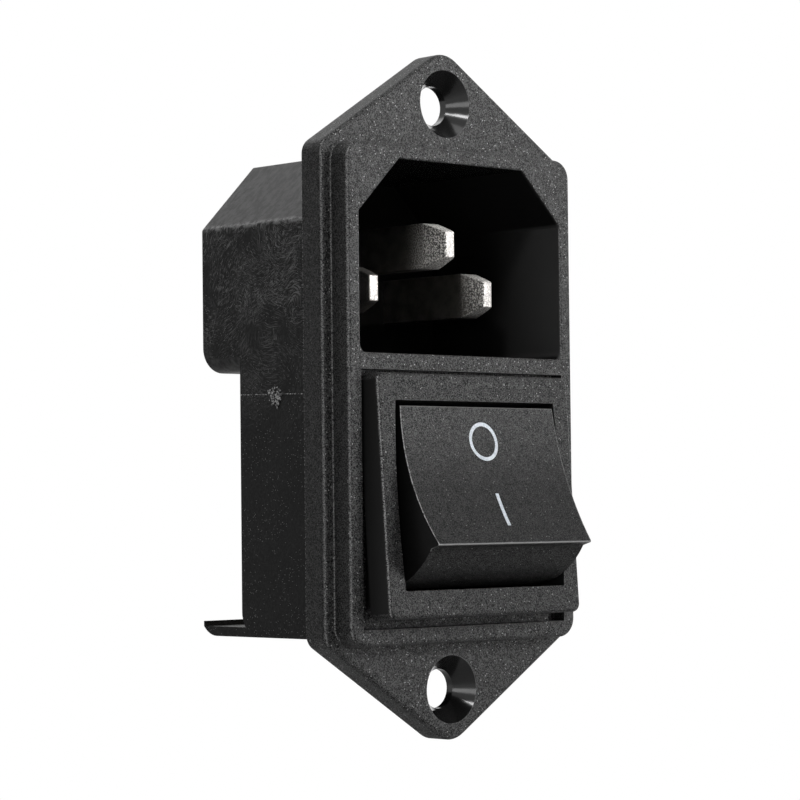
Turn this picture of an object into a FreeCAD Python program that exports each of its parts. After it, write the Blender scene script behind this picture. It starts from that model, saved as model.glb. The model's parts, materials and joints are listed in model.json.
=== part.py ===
"""Appliance inlet with a double-pole rocker switch below it, in one panel-mounted moulding.

Millimetres. The origin is on the mounting face, the back of the flange, midway between the two screw
holes. X is to the right seen from the front, Y runs back into the appliance and Z is up.
"""

import FreeCAD
import Part
import Sketcher
import math
import os
import re

VECTOR = FreeCAD.Vector
# how far a cut runs past the surface it opens, and how near two coordinates must be to count as one
OVERRUN = 1.0
TOLERANCE = 0.01
# how many sides a spring's wire is drawn with
WIRE_SIDES = 8

# Driving dimensions
SIZES = {
    # flange and raised panel
    "flange_half_width": 14.8,
    "flange_shoulder_drop": 0.2,
    "flange_thickness": 2.45,
    "flange_side_round": 1.5,
    "flange_apex_round": 2.8,
    "panel_half_width": 13.7,
    "panel_rim": 1.3,
    "panel_bottom": -21.65,
    "panel_front": 4.52,
    "panel_corner_round": 1.7,
    "panel_foot_round": 0.2,
    "moulded_edge_round": 0.4,
    # screw holes
    "screw_setback": 4.3,
    "screw_edge_height": 4.95,
    "screw_hole_radius": 1.75,
    "countersink_radius": 3.02,
    "countersink_depth": 1.7,
    # inlet
    "cavity_half_width": 12.25,
    "cavity_bottom": 3.45,
    "cavity_height": 16.8,
    "cavity_chamfer": 4.8,
    "cavity_corner_round": 0.8,
    "cavity_mouth_round": 0.25,
    "shroud_wall": 1.05,
    "shroud_half_width": 13.5,
    "shroud_chamfer": 6.1,
    "shroud_depth": 15.1,
    "shroud_floor": 2.82,
    "shroud_bottom_round": 2.2,
    "shroud_shoulder_round": 0.35,
    # pins
    "pin_row_spacing": 14.0,
    "pin_row_height": 9.35,
    "earth_pin_offset": 4.0,
    "pin_width": 4.0,
    "pin_thickness": 2.0,
    "pin_tip_width": 2.6,
    "pin_tip_thickness": 1.2,
    "pin_tip_length": 2.4,
    "line_tip_depth": 4.0,
    "earth_tip_depth": 1.6,
    "tab_width": 4.8,
    "tab_thickness": 0.8,
    "tab_length": 6.5,
    "tab_nose": 1.0,
    "tab_hole_radius": 0.7,
    "tab_hole_setback": 2.6,
    # switch bay
    "bay_depth": 10.0,
    "bay_bottom": -21.05,
    "bay_floor_thickness": 0.85,
    "bay_corner_round": 2.2,
    "pocket_half_width": 12.25,
    "pocket_top": 2.0,
    "pocket_bottom": -20.2,
    "seat_front": 3.3,
    "seat_thickness": 2.0,
    "seat_clearance": 0.25,
    "ledge_end": 15.3,
    "ledge_nose": 1.8,
    "ledge_lip_height": 0.45,
    "ledge_lip_thickness": 0.3,
    # switch frame: the rocker's pivot and the lean of the whole switch
    "pivot_front": 3.23,
    "pivot_height": -9.1,
    "switch_lean": 3.9,
    # switch housing
    "bezel_half_width": 11.65,
    "bezel_half_height": 10.52,
    "bezel_rise": 0.09,
    "bezel_front": 3.27,
    "bezel_thickness": 2.43,
    "bezel_corner_round": 0.75,
    "bezel_edge_round": 0.33,
    "opening_half_width": 9.65,
    "opening_half_height": 8.15,
    "opening_bow": 0.35,
    "switch_wall": 1.0,
    "switch_depth": 11.5,
    "switch_floor": 1.2,
    "barrier_half_thickness": 0.5,
    "barrier_drop": 6.0,
    "latch_setback": 2.2,
    "latch_reach": 0.75,
    "latch_length": 3.0,
    "latch_half_height": 2.0,
    # rocker
    "rocker_half_width": 9.3,
    "rocker_bow": 0.25,
    "rocker_tip_reach": 5.62,
    "rocker_tip_half_height": 6.42,
    "rocker_face_radius": 23.4,
    "rocker_lip": 1.05,
    "rocker_skirt_radius": 7.8,
    "rocker_skirt_depth": 1.9,
    "rocker_half_swing": 17.5,
    "rocker_wall": 1.3,
    "rocker_edge_round": 0.12,
    "trunnion_radius": 1.25,
    "trunnion_clearance": 0.05,
    "trunnion_end_gap": 0.3,
    # plungers and springs
    "pole_offset": 5.0,
    "plunger_radius": 1.5,
    "plunger_clearance": 0.06,
    "plunger_reach": 7.0,
    "plunger_length": 6.1,
    "plunger_neck_radius": 0.7,
    "plunger_neck_length": 1.2,
    "tube_wall": 0.75,
    "tube_reach": 3.4,
    "spring_space": 3.5,
    "spring_wire_radius": 0.17,
    "spring_coil_radius": 1.1,
    "spring_turns": 5,
    "spring_end_gap": 0.05,
    # contact levers
    "lever_hinge_reach": 8.0,
    "lever_half_swing": 8.0,
    "lever_thickness": 0.6,
    "lever_half_width": 1.8,
    "cradle_angle": 22.0,
    "cradle_half_length": 3.3,
    "lever_contact_end": 6.7,
    "lever_free_end": 4.4,
    "rivet_distance": 5.6,
    "rivet_head_radius": 0.9,
    "rivet_head_height": 0.3,
    "rivet_dome_height": 0.2,
    "rivet_shank_radius": 0.6,
    "contact_gap": 0.08,
    "stop_gap": 0.15,
    # terminals of the switch
    "terminal_fork_depth": 1.1,
    "terminal_fork_clearance": 0.12,
    "terminal_knife_gap": 0.05,
    "end_terminal_height": 7.0,
    "end_terminal_foot": 4.3,
    "switch_tab_length": 8.0,
}

# Sizes worked out from the driving ones
CAVITY_TOP = "(cavity_bottom + cavity_height)"
CAVITY_FLOOR = "(shroud_depth - shroud_floor)"
SHROUD_TOP = "(%s + shroud_wall)" % CAVITY_TOP
SHROUD_BOTTOM = "(cavity_bottom - shroud_wall)"
PANEL_TOP = "(%s + panel_rim)" % CAVITY_TOP
FLANGE_SIDE_HEIGHT = "(%s - flange_shoulder_drop)" % PANEL_TOP
SCREW_HEIGHT = "(%s + screw_setback)" % PANEL_TOP
FLANGE_APEX_HEIGHT = "(%s + screw_edge_height)" % SCREW_HEIGHT
BAY_FLOOR = "(bay_bottom + bay_floor_thickness)"
BODY_HALF_WIDTH = "(opening_half_width + switch_wall)"
BODY_HALF_HEIGHT = "(opening_half_height + switch_wall)"
FLOOR_FRONT = "(switch_depth - switch_floor)"
TUBE_RADIUS = "(plunger_radius + plunger_clearance + tube_wall)"
BORE_RADIUS = "(plunger_radius + plunger_clearance)"
PLUNGER_TOP = "(plunger_reach - plunger_length)"
BORE_END = "(spring_space - plunger_reach + plunger_length)"
LEVER_DROP = "(lever_thickness / cos(cradle_angle * 1deg))"
ARM_RISE = "(%s + cradle_half_length * tan(cradle_angle * 1deg))" % LEVER_DROP
RIVET_HEIGHT = "(rivet_head_height + rivet_dome_height)"
RIVET_RISE = "(%s - lever_thickness - %s)" % (ARM_RISE, RIVET_HEIGHT)
SWING = "(lever_half_swing * 1deg)"
FIXED_RIVET_FACE = "(lever_hinge_reach - %s * cos(%s) + rivet_distance * sin(%s) + contact_gap)" % (
    RIVET_RISE, SWING, SWING)
FIXED_RIVET_HEIGHT = "(rivet_distance * cos(%s) + %s * sin(%s))" % (SWING, RIVET_RISE, SWING)
END_PLATE_FRONT = "(%s + %s)" % (FIXED_RIVET_FACE, RIVET_HEIGHT)
END_PLATE_BACK = "(%s + tab_thickness)" % END_PLATE_FRONT
LEVER_UNDERSIDE = "((%s - lever_thickness) * cos(%s))" % (ARM_RISE, SWING)
STOP_FRONT = "(lever_hinge_reach - %s + lever_free_end * sin(%s) + stop_gap)" % (LEVER_UNDERSIDE, SWING)
TAB_END = "(switch_depth + switch_tab_length)"

document = FreeCAD.newDocument("ApplianceInlet")
sheet = document.addObject("Spreadsheet::Sheet", "Sizes")
for row, (alias, value) in enumerate(SIZES.items(), start=1):
    sheet.set("A%d" % row, alias)
    sheet.set("B%d" % row, str(value))
    sheet.setAlias("B%d" % row, alias)
document.recompute()

WORD = re.compile(r"[a-z][a-z_]*[a-z]")


def formula(text):
    """An expression on the sheet's cells, from one that names the sizes alone."""
    text = str(text)
    return WORD.sub(lambda found: "Sizes." + found.group() if found.group() in SIZES else found.group(), text)


def value_of(text):
    """The number that an expression gives now."""
    found = sheet.evalExpression(formula(text))
    return float(getattr(found, "Value", found))


# Drawing helpers
def new_body(label):
    body = document.addObject("PartDesign::Body", label)
    body.Label = label
    return body


def origin_plane(body, role):
    return next(feature for feature in body.Origin.OriginFeatures if feature.Role == role)


def new_sketch(body, name, role, offset="0"):
    """A sketch parallel to an origin plane, moved along that plane's normal."""
    sketch = body.newObject("Sketcher::SketchObject", body.Name + "_" + name)
    sketch.AttachmentSupport = [(origin_plane(body, role), "")]
    sketch.MapMode = "FlatFace"
    sketch.setExpression("AttachmentOffset.Base.z", formula(offset))
    return sketch


def constrain(sketch, kind, targets, text):
    index = sketch.addConstraint(Sketcher.Constraint(kind, *targets, value_of(text)))
    sketch.setExpression("Constraints[%d]" % index, formula(text))


def pin_down(sketch, geometry, point, across, up):
    constrain(sketch, "DistanceX", (-1, 1, geometry, point), across)
    constrain(sketch, "DistanceY", (-1, 1, geometry, point), up)


def arc_between(start, end, radius, turn):
    """The arc of a given radius between two points; turn is 1 where it bends left and -1 where right."""
    chord = end - start
    half = chord.Length / 2
    middle = (start + end) / 2
    side = VECTOR(-chord.y, chord.x, 0).normalize() * turn
    centre = middle + side * math.sqrt(radius * radius - half * half)
    first = math.atan2(start.y - centre.y, start.x - centre.x)
    last = math.atan2(end.y - centre.y, end.x - centre.x)
    if turn < 0:
        first, last = last, first
    return Part.ArcOfCircle(Part.Circle(centre, VECTOR(0, 0, 1), radius), first, last)


def outline(sketch, corners, arcs=None):
    """A closed outline through corners; arcs gives a radius and a turn for the side after a corner."""
    arcs = arcs or {}
    points = [VECTOR(value_of(across), value_of(up), 0) for across, up in corners]
    ends = []
    for index, point in enumerate(points):
        following = points[(index + 1) % len(points)]
        if index in arcs:
            radius, turn = arcs[index]
            geometry = sketch.addGeometry(arc_between(point, following, value_of(radius), turn))
            ends.append((geometry, (1, 2) if turn > 0 else (2, 1)))
        else:
            geometry = sketch.addGeometry(Part.LineSegment(point, following))
            ends.append((geometry, (1, 2)))
    for index, (geometry, (start, _)) in enumerate(ends):
        before, (_, before_end) = ends[index - 1]
        sketch.addConstraint(Sketcher.Constraint("Coincident", before, before_end, geometry, start))
        pin_down(sketch, geometry, start, *corners[index])
        if index in arcs:
            constrain(sketch, "Radius", (geometry,), arcs[index][0])


def rectangle(sketch, left, right, low, high):
    outline(sketch, [(left, low), (right, low), (right, high), (left, high)])


def rounded_rectangle(sketch, left, right, low, high, radius):
    outline(sketch, [
        ("%s + %s" % (left, radius), low),
        ("%s - %s" % (right, radius), low),
        (right, "%s + %s" % (low, radius)),
        (right, "%s - %s" % (high, radius)),
        ("%s - %s" % (right, radius), high),
        ("%s + %s" % (left, radius), high),
        (left, "%s - %s" % (high, radius)),
        (left, "%s + %s" % (low, radius)),
    ], arcs={side: (radius, 1) for side in (1, 3, 5, 7)})


def bow_radius(half_height, bow):
    """The radius of a side that stands out by bow at its middle."""
    return "((%s) ^ 2 + %s ^ 2) / (2 * %s)" % (half_height, bow, bow)


def circle(sketch, across, up, radius):
    place = VECTOR(value_of(across), value_of(up), 0)
    geometry = sketch.addGeometry(Part.Circle(place, VECTOR(0, 0, 1), value_of(radius)))
    pin_down(sketch, geometry, 3, across, up)
    constrain(sketch, "Radius", (geometry,), radius)


def turning_axis(sketch, up):
    """A construction line along the sketch's first direction, for a turned feature."""
    height = value_of(up)
    axis = sketch.addGeometry(Part.LineSegment(VECTOR(0, height, 0), VECTOR(OVERRUN, height, 0)), True)
    pin_down(sketch, axis, 1, "0", up)
    pin_down(sketch, axis, 2, str(OVERRUN), up)


def add_feature(body, kind, name, profile, length, both_ways=False, turned=False):
    feature = body.newObject("PartDesign::" + kind, body.Name + "_" + name)
    feature.Profile = profile
    feature.SideType = "Symmetric" if both_ways else "One side"
    feature.Reversed = turned
    feature.setExpression("Length", formula(length))
    document.recompute()
    return feature


def block(body, name, back, front, left, right, low, high):
    """A box-shaped pad between two depths, measured towards the front."""
    sketch = new_sketch(body, name + "_sketch", "XZ_Plane", back)
    rectangle(sketch, left, right, low, high)
    return add_feature(body, "Pad", name, sketch, "(%s) - (%s)" % (front, back))


def hollow(body, name, front, depth, left, right, low, high):
    """A box-shaped pocket cut back from a depth measured towards the front."""
    sketch = new_sketch(body, name + "_sketch", "XZ_Plane", front)
    rectangle(sketch, left, right, low, high)
    return add_feature(body, "Pocket", name, sketch, depth)


def round_edges(body, name, radius, wanted):
    """A fillet on the edges of the body so far for which wanted is true."""
    base = body.Tip
    names = ["Edge%d" % number for number, edge in enumerate(base.Shape.Edges, start=1) if wanted(edge)]
    fillet = body.newObject("PartDesign::Fillet", body.Name + "_" + name)
    fillet.Base = (base, names)
    fillet.setExpression("Radius", formula(radius))
    document.recompute()
    return fillet


def mirror(body, name, feature, role):
    copied = body.newObject("PartDesign::Mirrored", body.Name + "_" + name)
    copied.Originals = [feature]
    copied.MirrorPlane = (origin_plane(body, role), [""])
    body.Tip = copied
    document.recompute()
    return copied


def near(first, second):
    return abs(first - second) < TOLERANCE


def runs_back(edge):
    """True for a straight edge parallel to Y."""
    first, last = edge.Vertexes[0].Point, edge.Vertexes[-1].Point
    return near(first.x, last.x) and near(first.z, last.z) and not near(first.y, last.y)


def lies_at(edge, depth):
    return all(near(vertex.Point.y, depth) for vertex in edge.Vertexes) and near(edge.CenterOfMass.y, depth)


def place(body, across, back, up, turn):
    """Put a body at a point and turn it about X, all from expressions."""
    body.Placement.Rotation = FreeCAD.Rotation(VECTOR(1, 0, 0), 1)
    body.setExpression("Placement.Base.x", formula(across))
    body.setExpression("Placement.Base.y", formula(back))
    body.setExpression("Placement.Base.z", formula(up))
    body.setExpression("Placement.Rotation.Angle", formula(turn))


# Inlet housing: flange, panel, shroud, switch bay and ledge in one moulding
def make_inlet_housing():
    body = new_body("inlet_housing")
    half_width = value_of("flange_half_width")
    sketch = new_sketch(body, "flange_sketch", "XZ_Plane")
    outline(sketch, [
        ("0", FLANGE_APEX_HEIGHT),
        ("-flange_half_width", FLANGE_SIDE_HEIGHT),
        ("-flange_half_width", "-" + FLANGE_SIDE_HEIGHT),
        ("0", "-" + FLANGE_APEX_HEIGHT),
        ("flange_half_width", "-" + FLANGE_SIDE_HEIGHT),
        ("flange_half_width", FLANGE_SIDE_HEIGHT),
    ])
    add_feature(body, "Pad", "flange", sketch, "flange_thickness")
    round_edges(body, "flange_apexes", "flange_apex_round",
                lambda edge: runs_back(edge) and near(edge.CenterOfMass.x, 0))
    round_edges(body, "flange_sides", "flange_side_round",
                lambda edge: runs_back(edge) and near(abs(edge.CenterOfMass.x), half_width))
    flange_front = -value_of("flange_thickness")
    round_edges(body, "flange_edge", "moulded_edge_round", lambda edge: lies_at(edge, flange_front))

    panel_face = -value_of("panel_front")
    sketch = new_sketch(body, "panel_sketch", "XZ_Plane")
    rounded_rectangle(sketch, "-panel_half_width", "panel_half_width", "panel_bottom", PANEL_TOP,
                      "panel_corner_round")
    add_feature(body, "Pad", "panel", sketch, "panel_front")
    round_edges(body, "panel_edge", "moulded_edge_round", lambda edge: lies_at(edge, panel_face))
    panel_side, panel_height = value_of("panel_half_width") + TOLERANCE, value_of(PANEL_TOP) + TOLERANCE
    round_edges(body, "panel_foot", "panel_foot_round",
                lambda edge: lies_at(edge, flange_front) and abs(edge.CenterOfMass.x) < panel_side
                and abs(edge.CenterOfMass.z) < panel_height)

    # the body behind the flange: shroud and switch bay to the bay's depth, the shroud alone behind it
    sketch = new_sketch(body, "bay_sketch", "YZ_Plane")
    outline(sketch, [
        ("0", "bay_bottom"),
        ("bay_depth - bay_corner_round", "bay_bottom"),
        ("bay_depth", "bay_bottom + bay_corner_round"),
        ("bay_depth", "cavity_bottom"),
        ("0", "cavity_bottom"),
    ], arcs={1: ("bay_corner_round", 1)})
    add_feature(body, "Pad", "bay", sketch, "2 * shroud_half_width", both_ways=True)
    sketch = new_sketch(body, "shroud_sketch", "XZ_Plane", "-shroud_depth")
    outline(sketch, [
        ("-shroud_half_width + shroud_bottom_round", SHROUD_BOTTOM),
        ("shroud_half_width - shroud_bottom_round", SHROUD_BOTTOM),
        ("shroud_half_width", SHROUD_BOTTOM + " + shroud_bottom_round"),
        ("shroud_half_width", SHROUD_TOP + " - shroud_chamfer"),
        ("shroud_half_width - shroud_chamfer", SHROUD_TOP),
        ("-shroud_half_width + shroud_chamfer", SHROUD_TOP),
        ("-shroud_half_width", SHROUD_TOP + " - shroud_chamfer"),
        ("-shroud_half_width", SHROUD_BOTTOM + " + shroud_bottom_round"),
    ], arcs={1: ("shroud_bottom_round", 1), 7: ("shroud_bottom_round", 1)})
    add_feature(body, "Pad", "shroud", sketch, "shroud_depth")
    shroud_top = value_of(SHROUD_TOP)
    shoulders = [
        (value_of("shroud_half_width"), shroud_top - value_of("shroud_chamfer")),
        (value_of("shroud_half_width - shroud_chamfer"), shroud_top),
    ]
    round_edges(body, "shroud_shoulders", "shroud_shoulder_round",
                lambda edge: runs_back(edge) and any(
                    near(abs(edge.CenterOfMass.x), across) and near(edge.CenterOfMass.z, up)
                    for across, up in shoulders))
    block(body, "bay_shoulder", "-bay_depth", "0", "-shroud_half_width", "shroud_half_width",
          "cavity_bottom", SHROUD_BOTTOM + " + shroud_bottom_round")

    # the ledge: the bay's floor runs on behind it and ends in a rounded nose with a small lip
    sketch = new_sketch(body, "ledge_sketch", "YZ_Plane")
    nose_round = "(ledge_nose ^ 2 + bay_floor_thickness ^ 2) / (2 * bay_floor_thickness)"
    outline(sketch, [
        ("bay_depth - bay_corner_round", "bay_bottom"),
        ("ledge_end - ledge_nose", "bay_bottom"),
        ("ledge_end", BAY_FLOOR),
        ("ledge_end", BAY_FLOOR + " + ledge_lip_height"),
        ("ledge_end - ledge_lip_thickness", BAY_FLOOR),
        ("bay_depth - bay_corner_round", BAY_FLOOR),
    ], arcs={1: (nose_round, 1)})
    add_feature(body, "Pad", "ledge", sketch, "2 * shroud_half_width", both_ways=True)

    # the inlet cavity
    sketch = new_sketch(body, "cavity_sketch", "XZ_Plane", "panel_front")
    outline(sketch, [
        ("-cavity_half_width + cavity_corner_round", "cavity_bottom"),
        ("cavity_half_width - cavity_corner_round", "cavity_bottom"),
        ("cavity_half_width", "cavity_bottom + cavity_corner_round"),
        ("cavity_half_width", CAVITY_TOP + " - cavity_chamfer"),
        ("cavity_half_width - cavity_chamfer", CAVITY_TOP),
        ("-cavity_half_width + cavity_chamfer", CAVITY_TOP),
        ("-cavity_half_width", CAVITY_TOP + " - cavity_chamfer"),
        ("-cavity_half_width", "cavity_bottom + cavity_corner_round"),
    ], arcs={1: ("cavity_corner_round", 1), 7: ("cavity_corner_round", 1)})
    add_feature(body, "Pocket", "cavity", sketch, "panel_front + " + CAVITY_FLOOR)
    mouth_side = value_of("cavity_half_width") + TOLERANCE
    mouth_low, mouth_high = value_of("cavity_bottom") - TOLERANCE, value_of(CAVITY_TOP) + TOLERANCE
    round_edges(body, "cavity_mouth", "cavity_mouth_round",
                lambda edge: lies_at(edge, panel_face) and abs(edge.CenterOfMass.x) < mouth_side
                and mouth_low < edge.CenterOfMass.z < mouth_high)

    # slots that hold the pins in the cavity's floor
    for name, across, up, _ in PIN_PLACES:
        hollow(body, name + "_slot", "-" + CAVITY_FLOOR, "shroud_depth",
               across + " - pin_thickness / 2", across + " + pin_thickness / 2",
               up + " - pin_width / 2", up + " + pin_width / 2")

    # the pocket for the switch's bezel, its seat and the bay behind
    hollow(body, "pocket", "panel_front", "panel_front - seat_front",
           "-pocket_half_width", "pocket_half_width", "pocket_bottom", "pocket_top")
    hollow(body, "switch_cutout", "seat_front", "seat_thickness",
           "-" + BODY_HALF_WIDTH + " - seat_clearance", BODY_HALF_WIDTH + " + seat_clearance",
           "pivot_height - " + BODY_HALF_HEIGHT + " - seat_clearance",
           "pivot_height + " + BODY_HALF_HEIGHT + " + seat_clearance")
    hollow(body, "bay_space", "seat_front - seat_thickness", "bay_depth + seat_front",
           "-pocket_half_width", "pocket_half_width", BAY_FLOOR, SHROUD_BOTTOM)

    # countersunk screw holes
    sketch = new_sketch(body, "screw_sketch", "YZ_Plane")
    straight = "-flange_thickness + countersink_depth"
    outside = "-flange_thickness - %s" % OVERRUN
    behind = str(OVERRUN)
    outline(sketch, [
        (behind, SCREW_HEIGHT),
        (outside, SCREW_HEIGHT),
        (outside, SCREW_HEIGHT + " + countersink_radius"),
        ("-flange_thickness", SCREW_HEIGHT + " + countersink_radius"),
        (straight, SCREW_HEIGHT + " + screw_hole_radius"),
        (behind, SCREW_HEIGHT + " + screw_hole_radius"),
    ])
    turning_axis(sketch, SCREW_HEIGHT)
    groove = body.newObject("PartDesign::Groove", "inlet_housing_screw_hole")
    groove.Profile = sketch
    groove.ReferenceAxis = (sketch, ["Axis0"])
    document.recompute()
    mirror(body, "second_screw_hole", groove, "XY_Plane")
    return body


# Pins: curved tapered tip, flat blade through the cavity's floor, and a push-on tab
PIN_PLACES = [
    ("earth_pin", "0", "(pin_row_height + earth_pin_offset)", "earth_tip_depth"),
    ("live_pin", "(-pin_row_spacing / 2)", "pin_row_height", "line_tip_depth"),
    ("neutral_pin", "(pin_row_spacing / 2)", "pin_row_height", "line_tip_depth"),
]


def taper_radius(difference):
    """The radius that leaves the blade without a kink; difference is between the taper's two ends."""
    return "(pin_tip_length ^ 2 + (%s / 2) ^ 2) / %s" % (difference, difference)


def make_pin(label, across, up, tip_depth):
    body = new_body(label)
    tip = "(-panel_front + %s)" % tip_depth
    shoulder = "(%s + pin_tip_length)" % tip
    # the blade, its two broad sides curving in to the tip
    sketch = new_sketch(body, "blade_sketch", "XY_Plane", up + " - pin_width / 2")
    outline(sketch, [
        (across + " + pin_tip_thickness / 2", tip),
        (across + " + pin_thickness / 2", shoulder),
        (across + " + pin_thickness / 2", "shroud_depth"),
        (across + " - pin_thickness / 2", "shroud_depth"),
        (across + " - pin_thickness / 2", shoulder),
        (across + " - pin_tip_thickness / 2", tip),
    ], arcs={0: (taper_radius("(pin_thickness - pin_tip_thickness)"), 1),
             4: (taper_radius("(pin_thickness - pin_tip_thickness)"), 1)})
    add_feature(body, "Pad", "blade", sketch, "pin_width")
    # its two narrow sides do the same
    for name, side in (("upper", 1), ("lower", -1)):
        sketch = new_sketch(body, name + "_taper_sketch", "YZ_Plane", across)
        outline(sketch, [
            (shoulder, "%s + (%d) * pin_width / 2" % (up, side)),
            (shoulder, "%s + (%d) * pin_width" % (up, side)),
            (tip + " - %s" % OVERRUN, "%s + (%d) * pin_width" % (up, side)),
            (tip + " - %s" % OVERRUN, "%s + (%d) * pin_tip_width / 2" % (up, side)),
            (tip, "%s + (%d) * pin_tip_width / 2" % (up, side)),
        ], arcs={4: (taper_radius("(pin_width - pin_tip_width)"), -side)})
        add_feature(body, "Pocket", name + "_taper", sketch, "2 * pin_thickness", both_ways=True)
    sketch = new_sketch(body, "tab_sketch", "YZ_Plane", across)
    end = "(shroud_depth + tab_length)"
    outline(sketch, [
        ("shroud_depth", up + " - tab_width / 2"),
        (end + " - tab_nose", up + " - tab_width / 2"),
        (end, up + " - tab_width / 2 + tab_nose"),
        (end, up + " + tab_width / 2 - tab_nose"),
        (end + " - tab_nose", up + " + tab_width / 2"),
        ("shroud_depth", up + " + tab_width / 2"),
    ])
    circle(sketch, end + " - tab_hole_setback", up, "tab_hole_radius")
    add_feature(body, "Pad", "tab", sketch, "tab_thickness", both_ways=True)
    return body


# Switch housing: bezel and box, drawn about the rocker's pivot and leaned with the switch
def make_switch_housing():
    body = new_body("switch_housing")
    bezel_back = "bezel_front - bezel_thickness"
    sketch = new_sketch(body, "bezel_sketch", "XZ_Plane", bezel_back)
    rounded_rectangle(sketch, "-bezel_half_width", "bezel_half_width", "bezel_rise - bezel_half_height",
                      "bezel_rise + bezel_half_height", "bezel_corner_round")
    add_feature(body, "Pad", "bezel", sketch, "bezel_thickness")
    face = -value_of("bezel_front")
    round_edges(body, "bezel_edge", "bezel_edge_round", lambda edge: lies_at(edge, face))
    block(body, "box", "-switch_depth", bezel_back,
          "-" + BODY_HALF_WIDTH, BODY_HALF_WIDTH, "-" + BODY_HALF_HEIGHT, BODY_HALF_HEIGHT)
    low, high = "bezel_rise - opening_half_height", "bezel_rise + opening_half_height"
    hollow(body, "space", "bezel_front", "bezel_front + " + FLOOR_FRONT,
           "-opening_half_width", "opening_half_width", low, high)
    # the bezel's opening is wider at the middle of its sides
    sketch = new_sketch(body, "mouth_sketch", "XZ_Plane", "bezel_front")
    bowed = bow_radius("opening_half_height", "opening_bow")
    outline(sketch, [
        ("-opening_half_width", low),
        ("opening_half_width", low),
        ("opening_half_width", high),
        ("-opening_half_width", high),
    ], arcs={1: (bowed, 1), 3: (bowed, 1)})
    add_feature(body, "Pocket", "mouth", sketch, "bezel_thickness")
    # barrier between the poles, steps under the end terminals and stops under the levers' free ends
    floor = "-" + FLOOR_FRONT + " - switch_floor / 2"
    block(body, "barrier", floor, "-barrier_drop", "-barrier_half_thickness", "barrier_half_thickness",
          "-" + BODY_HALF_HEIGHT, BODY_HALF_HEIGHT)
    for side, name in ((-1, "left"), (1, "right")):
        middle = "(%d * pole_offset)" % side
        low, high = middle + " - tab_width / 2", middle + " + tab_width / 2"
        block(body, name + "_step", floor, "-" + END_PLATE_BACK, low, high,
              "end_terminal_foot", "end_terminal_height")
        block(body, name + "_stop", floor, "-" + STOP_FRONT,
              middle + " - lever_half_width", middle + " + lever_half_width",
              "-lever_free_end", "-lever_free_end + switch_floor")
        for slot, bottom, top in (("centre_slot", "-tab_thickness / 2", "tab_thickness / 2"),
                                  ("end_slot", "end_terminal_height", "end_terminal_height + tab_thickness")):
            hollow(body, name + "_" + slot, "-" + FLOOR_FRONT + " + switch_floor / 2", "switch_floor * 2",
                   low, high, bottom, top)
    # holes for the rocker's trunnions
    sketch = new_sketch(body, "pivot_sketch", "YZ_Plane")
    circle(sketch, "0", "0", "trunnion_radius + trunnion_clearance")
    right_through = "2 * %s + switch_wall" % BODY_HALF_WIDTH
    add_feature(body, "Pocket", "pivot_holes", sketch, right_through, both_ways=True)
    # latch wedges behind the seat
    sketch = new_sketch(body, "latch_sketch", "XY_Plane")
    outline(sketch, [
        (BODY_HALF_WIDTH + " - switch_wall / 2", "latch_setback"),
        (BODY_HALF_WIDTH + " + latch_reach", "latch_setback"),
        (BODY_HALF_WIDTH, "latch_setback + latch_length"),
        (BODY_HALF_WIDTH + " - switch_wall / 2", "latch_setback + latch_length"),
    ])
    latch = add_feature(body, "Pad", "latch", sketch, "2 * latch_half_height", both_ways=True)
    mirror(body, "second_latch", latch, "YZ_Plane")
    place(body, "0", "-pivot_front", "pivot_height", "-switch_lean")
    return body


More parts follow.
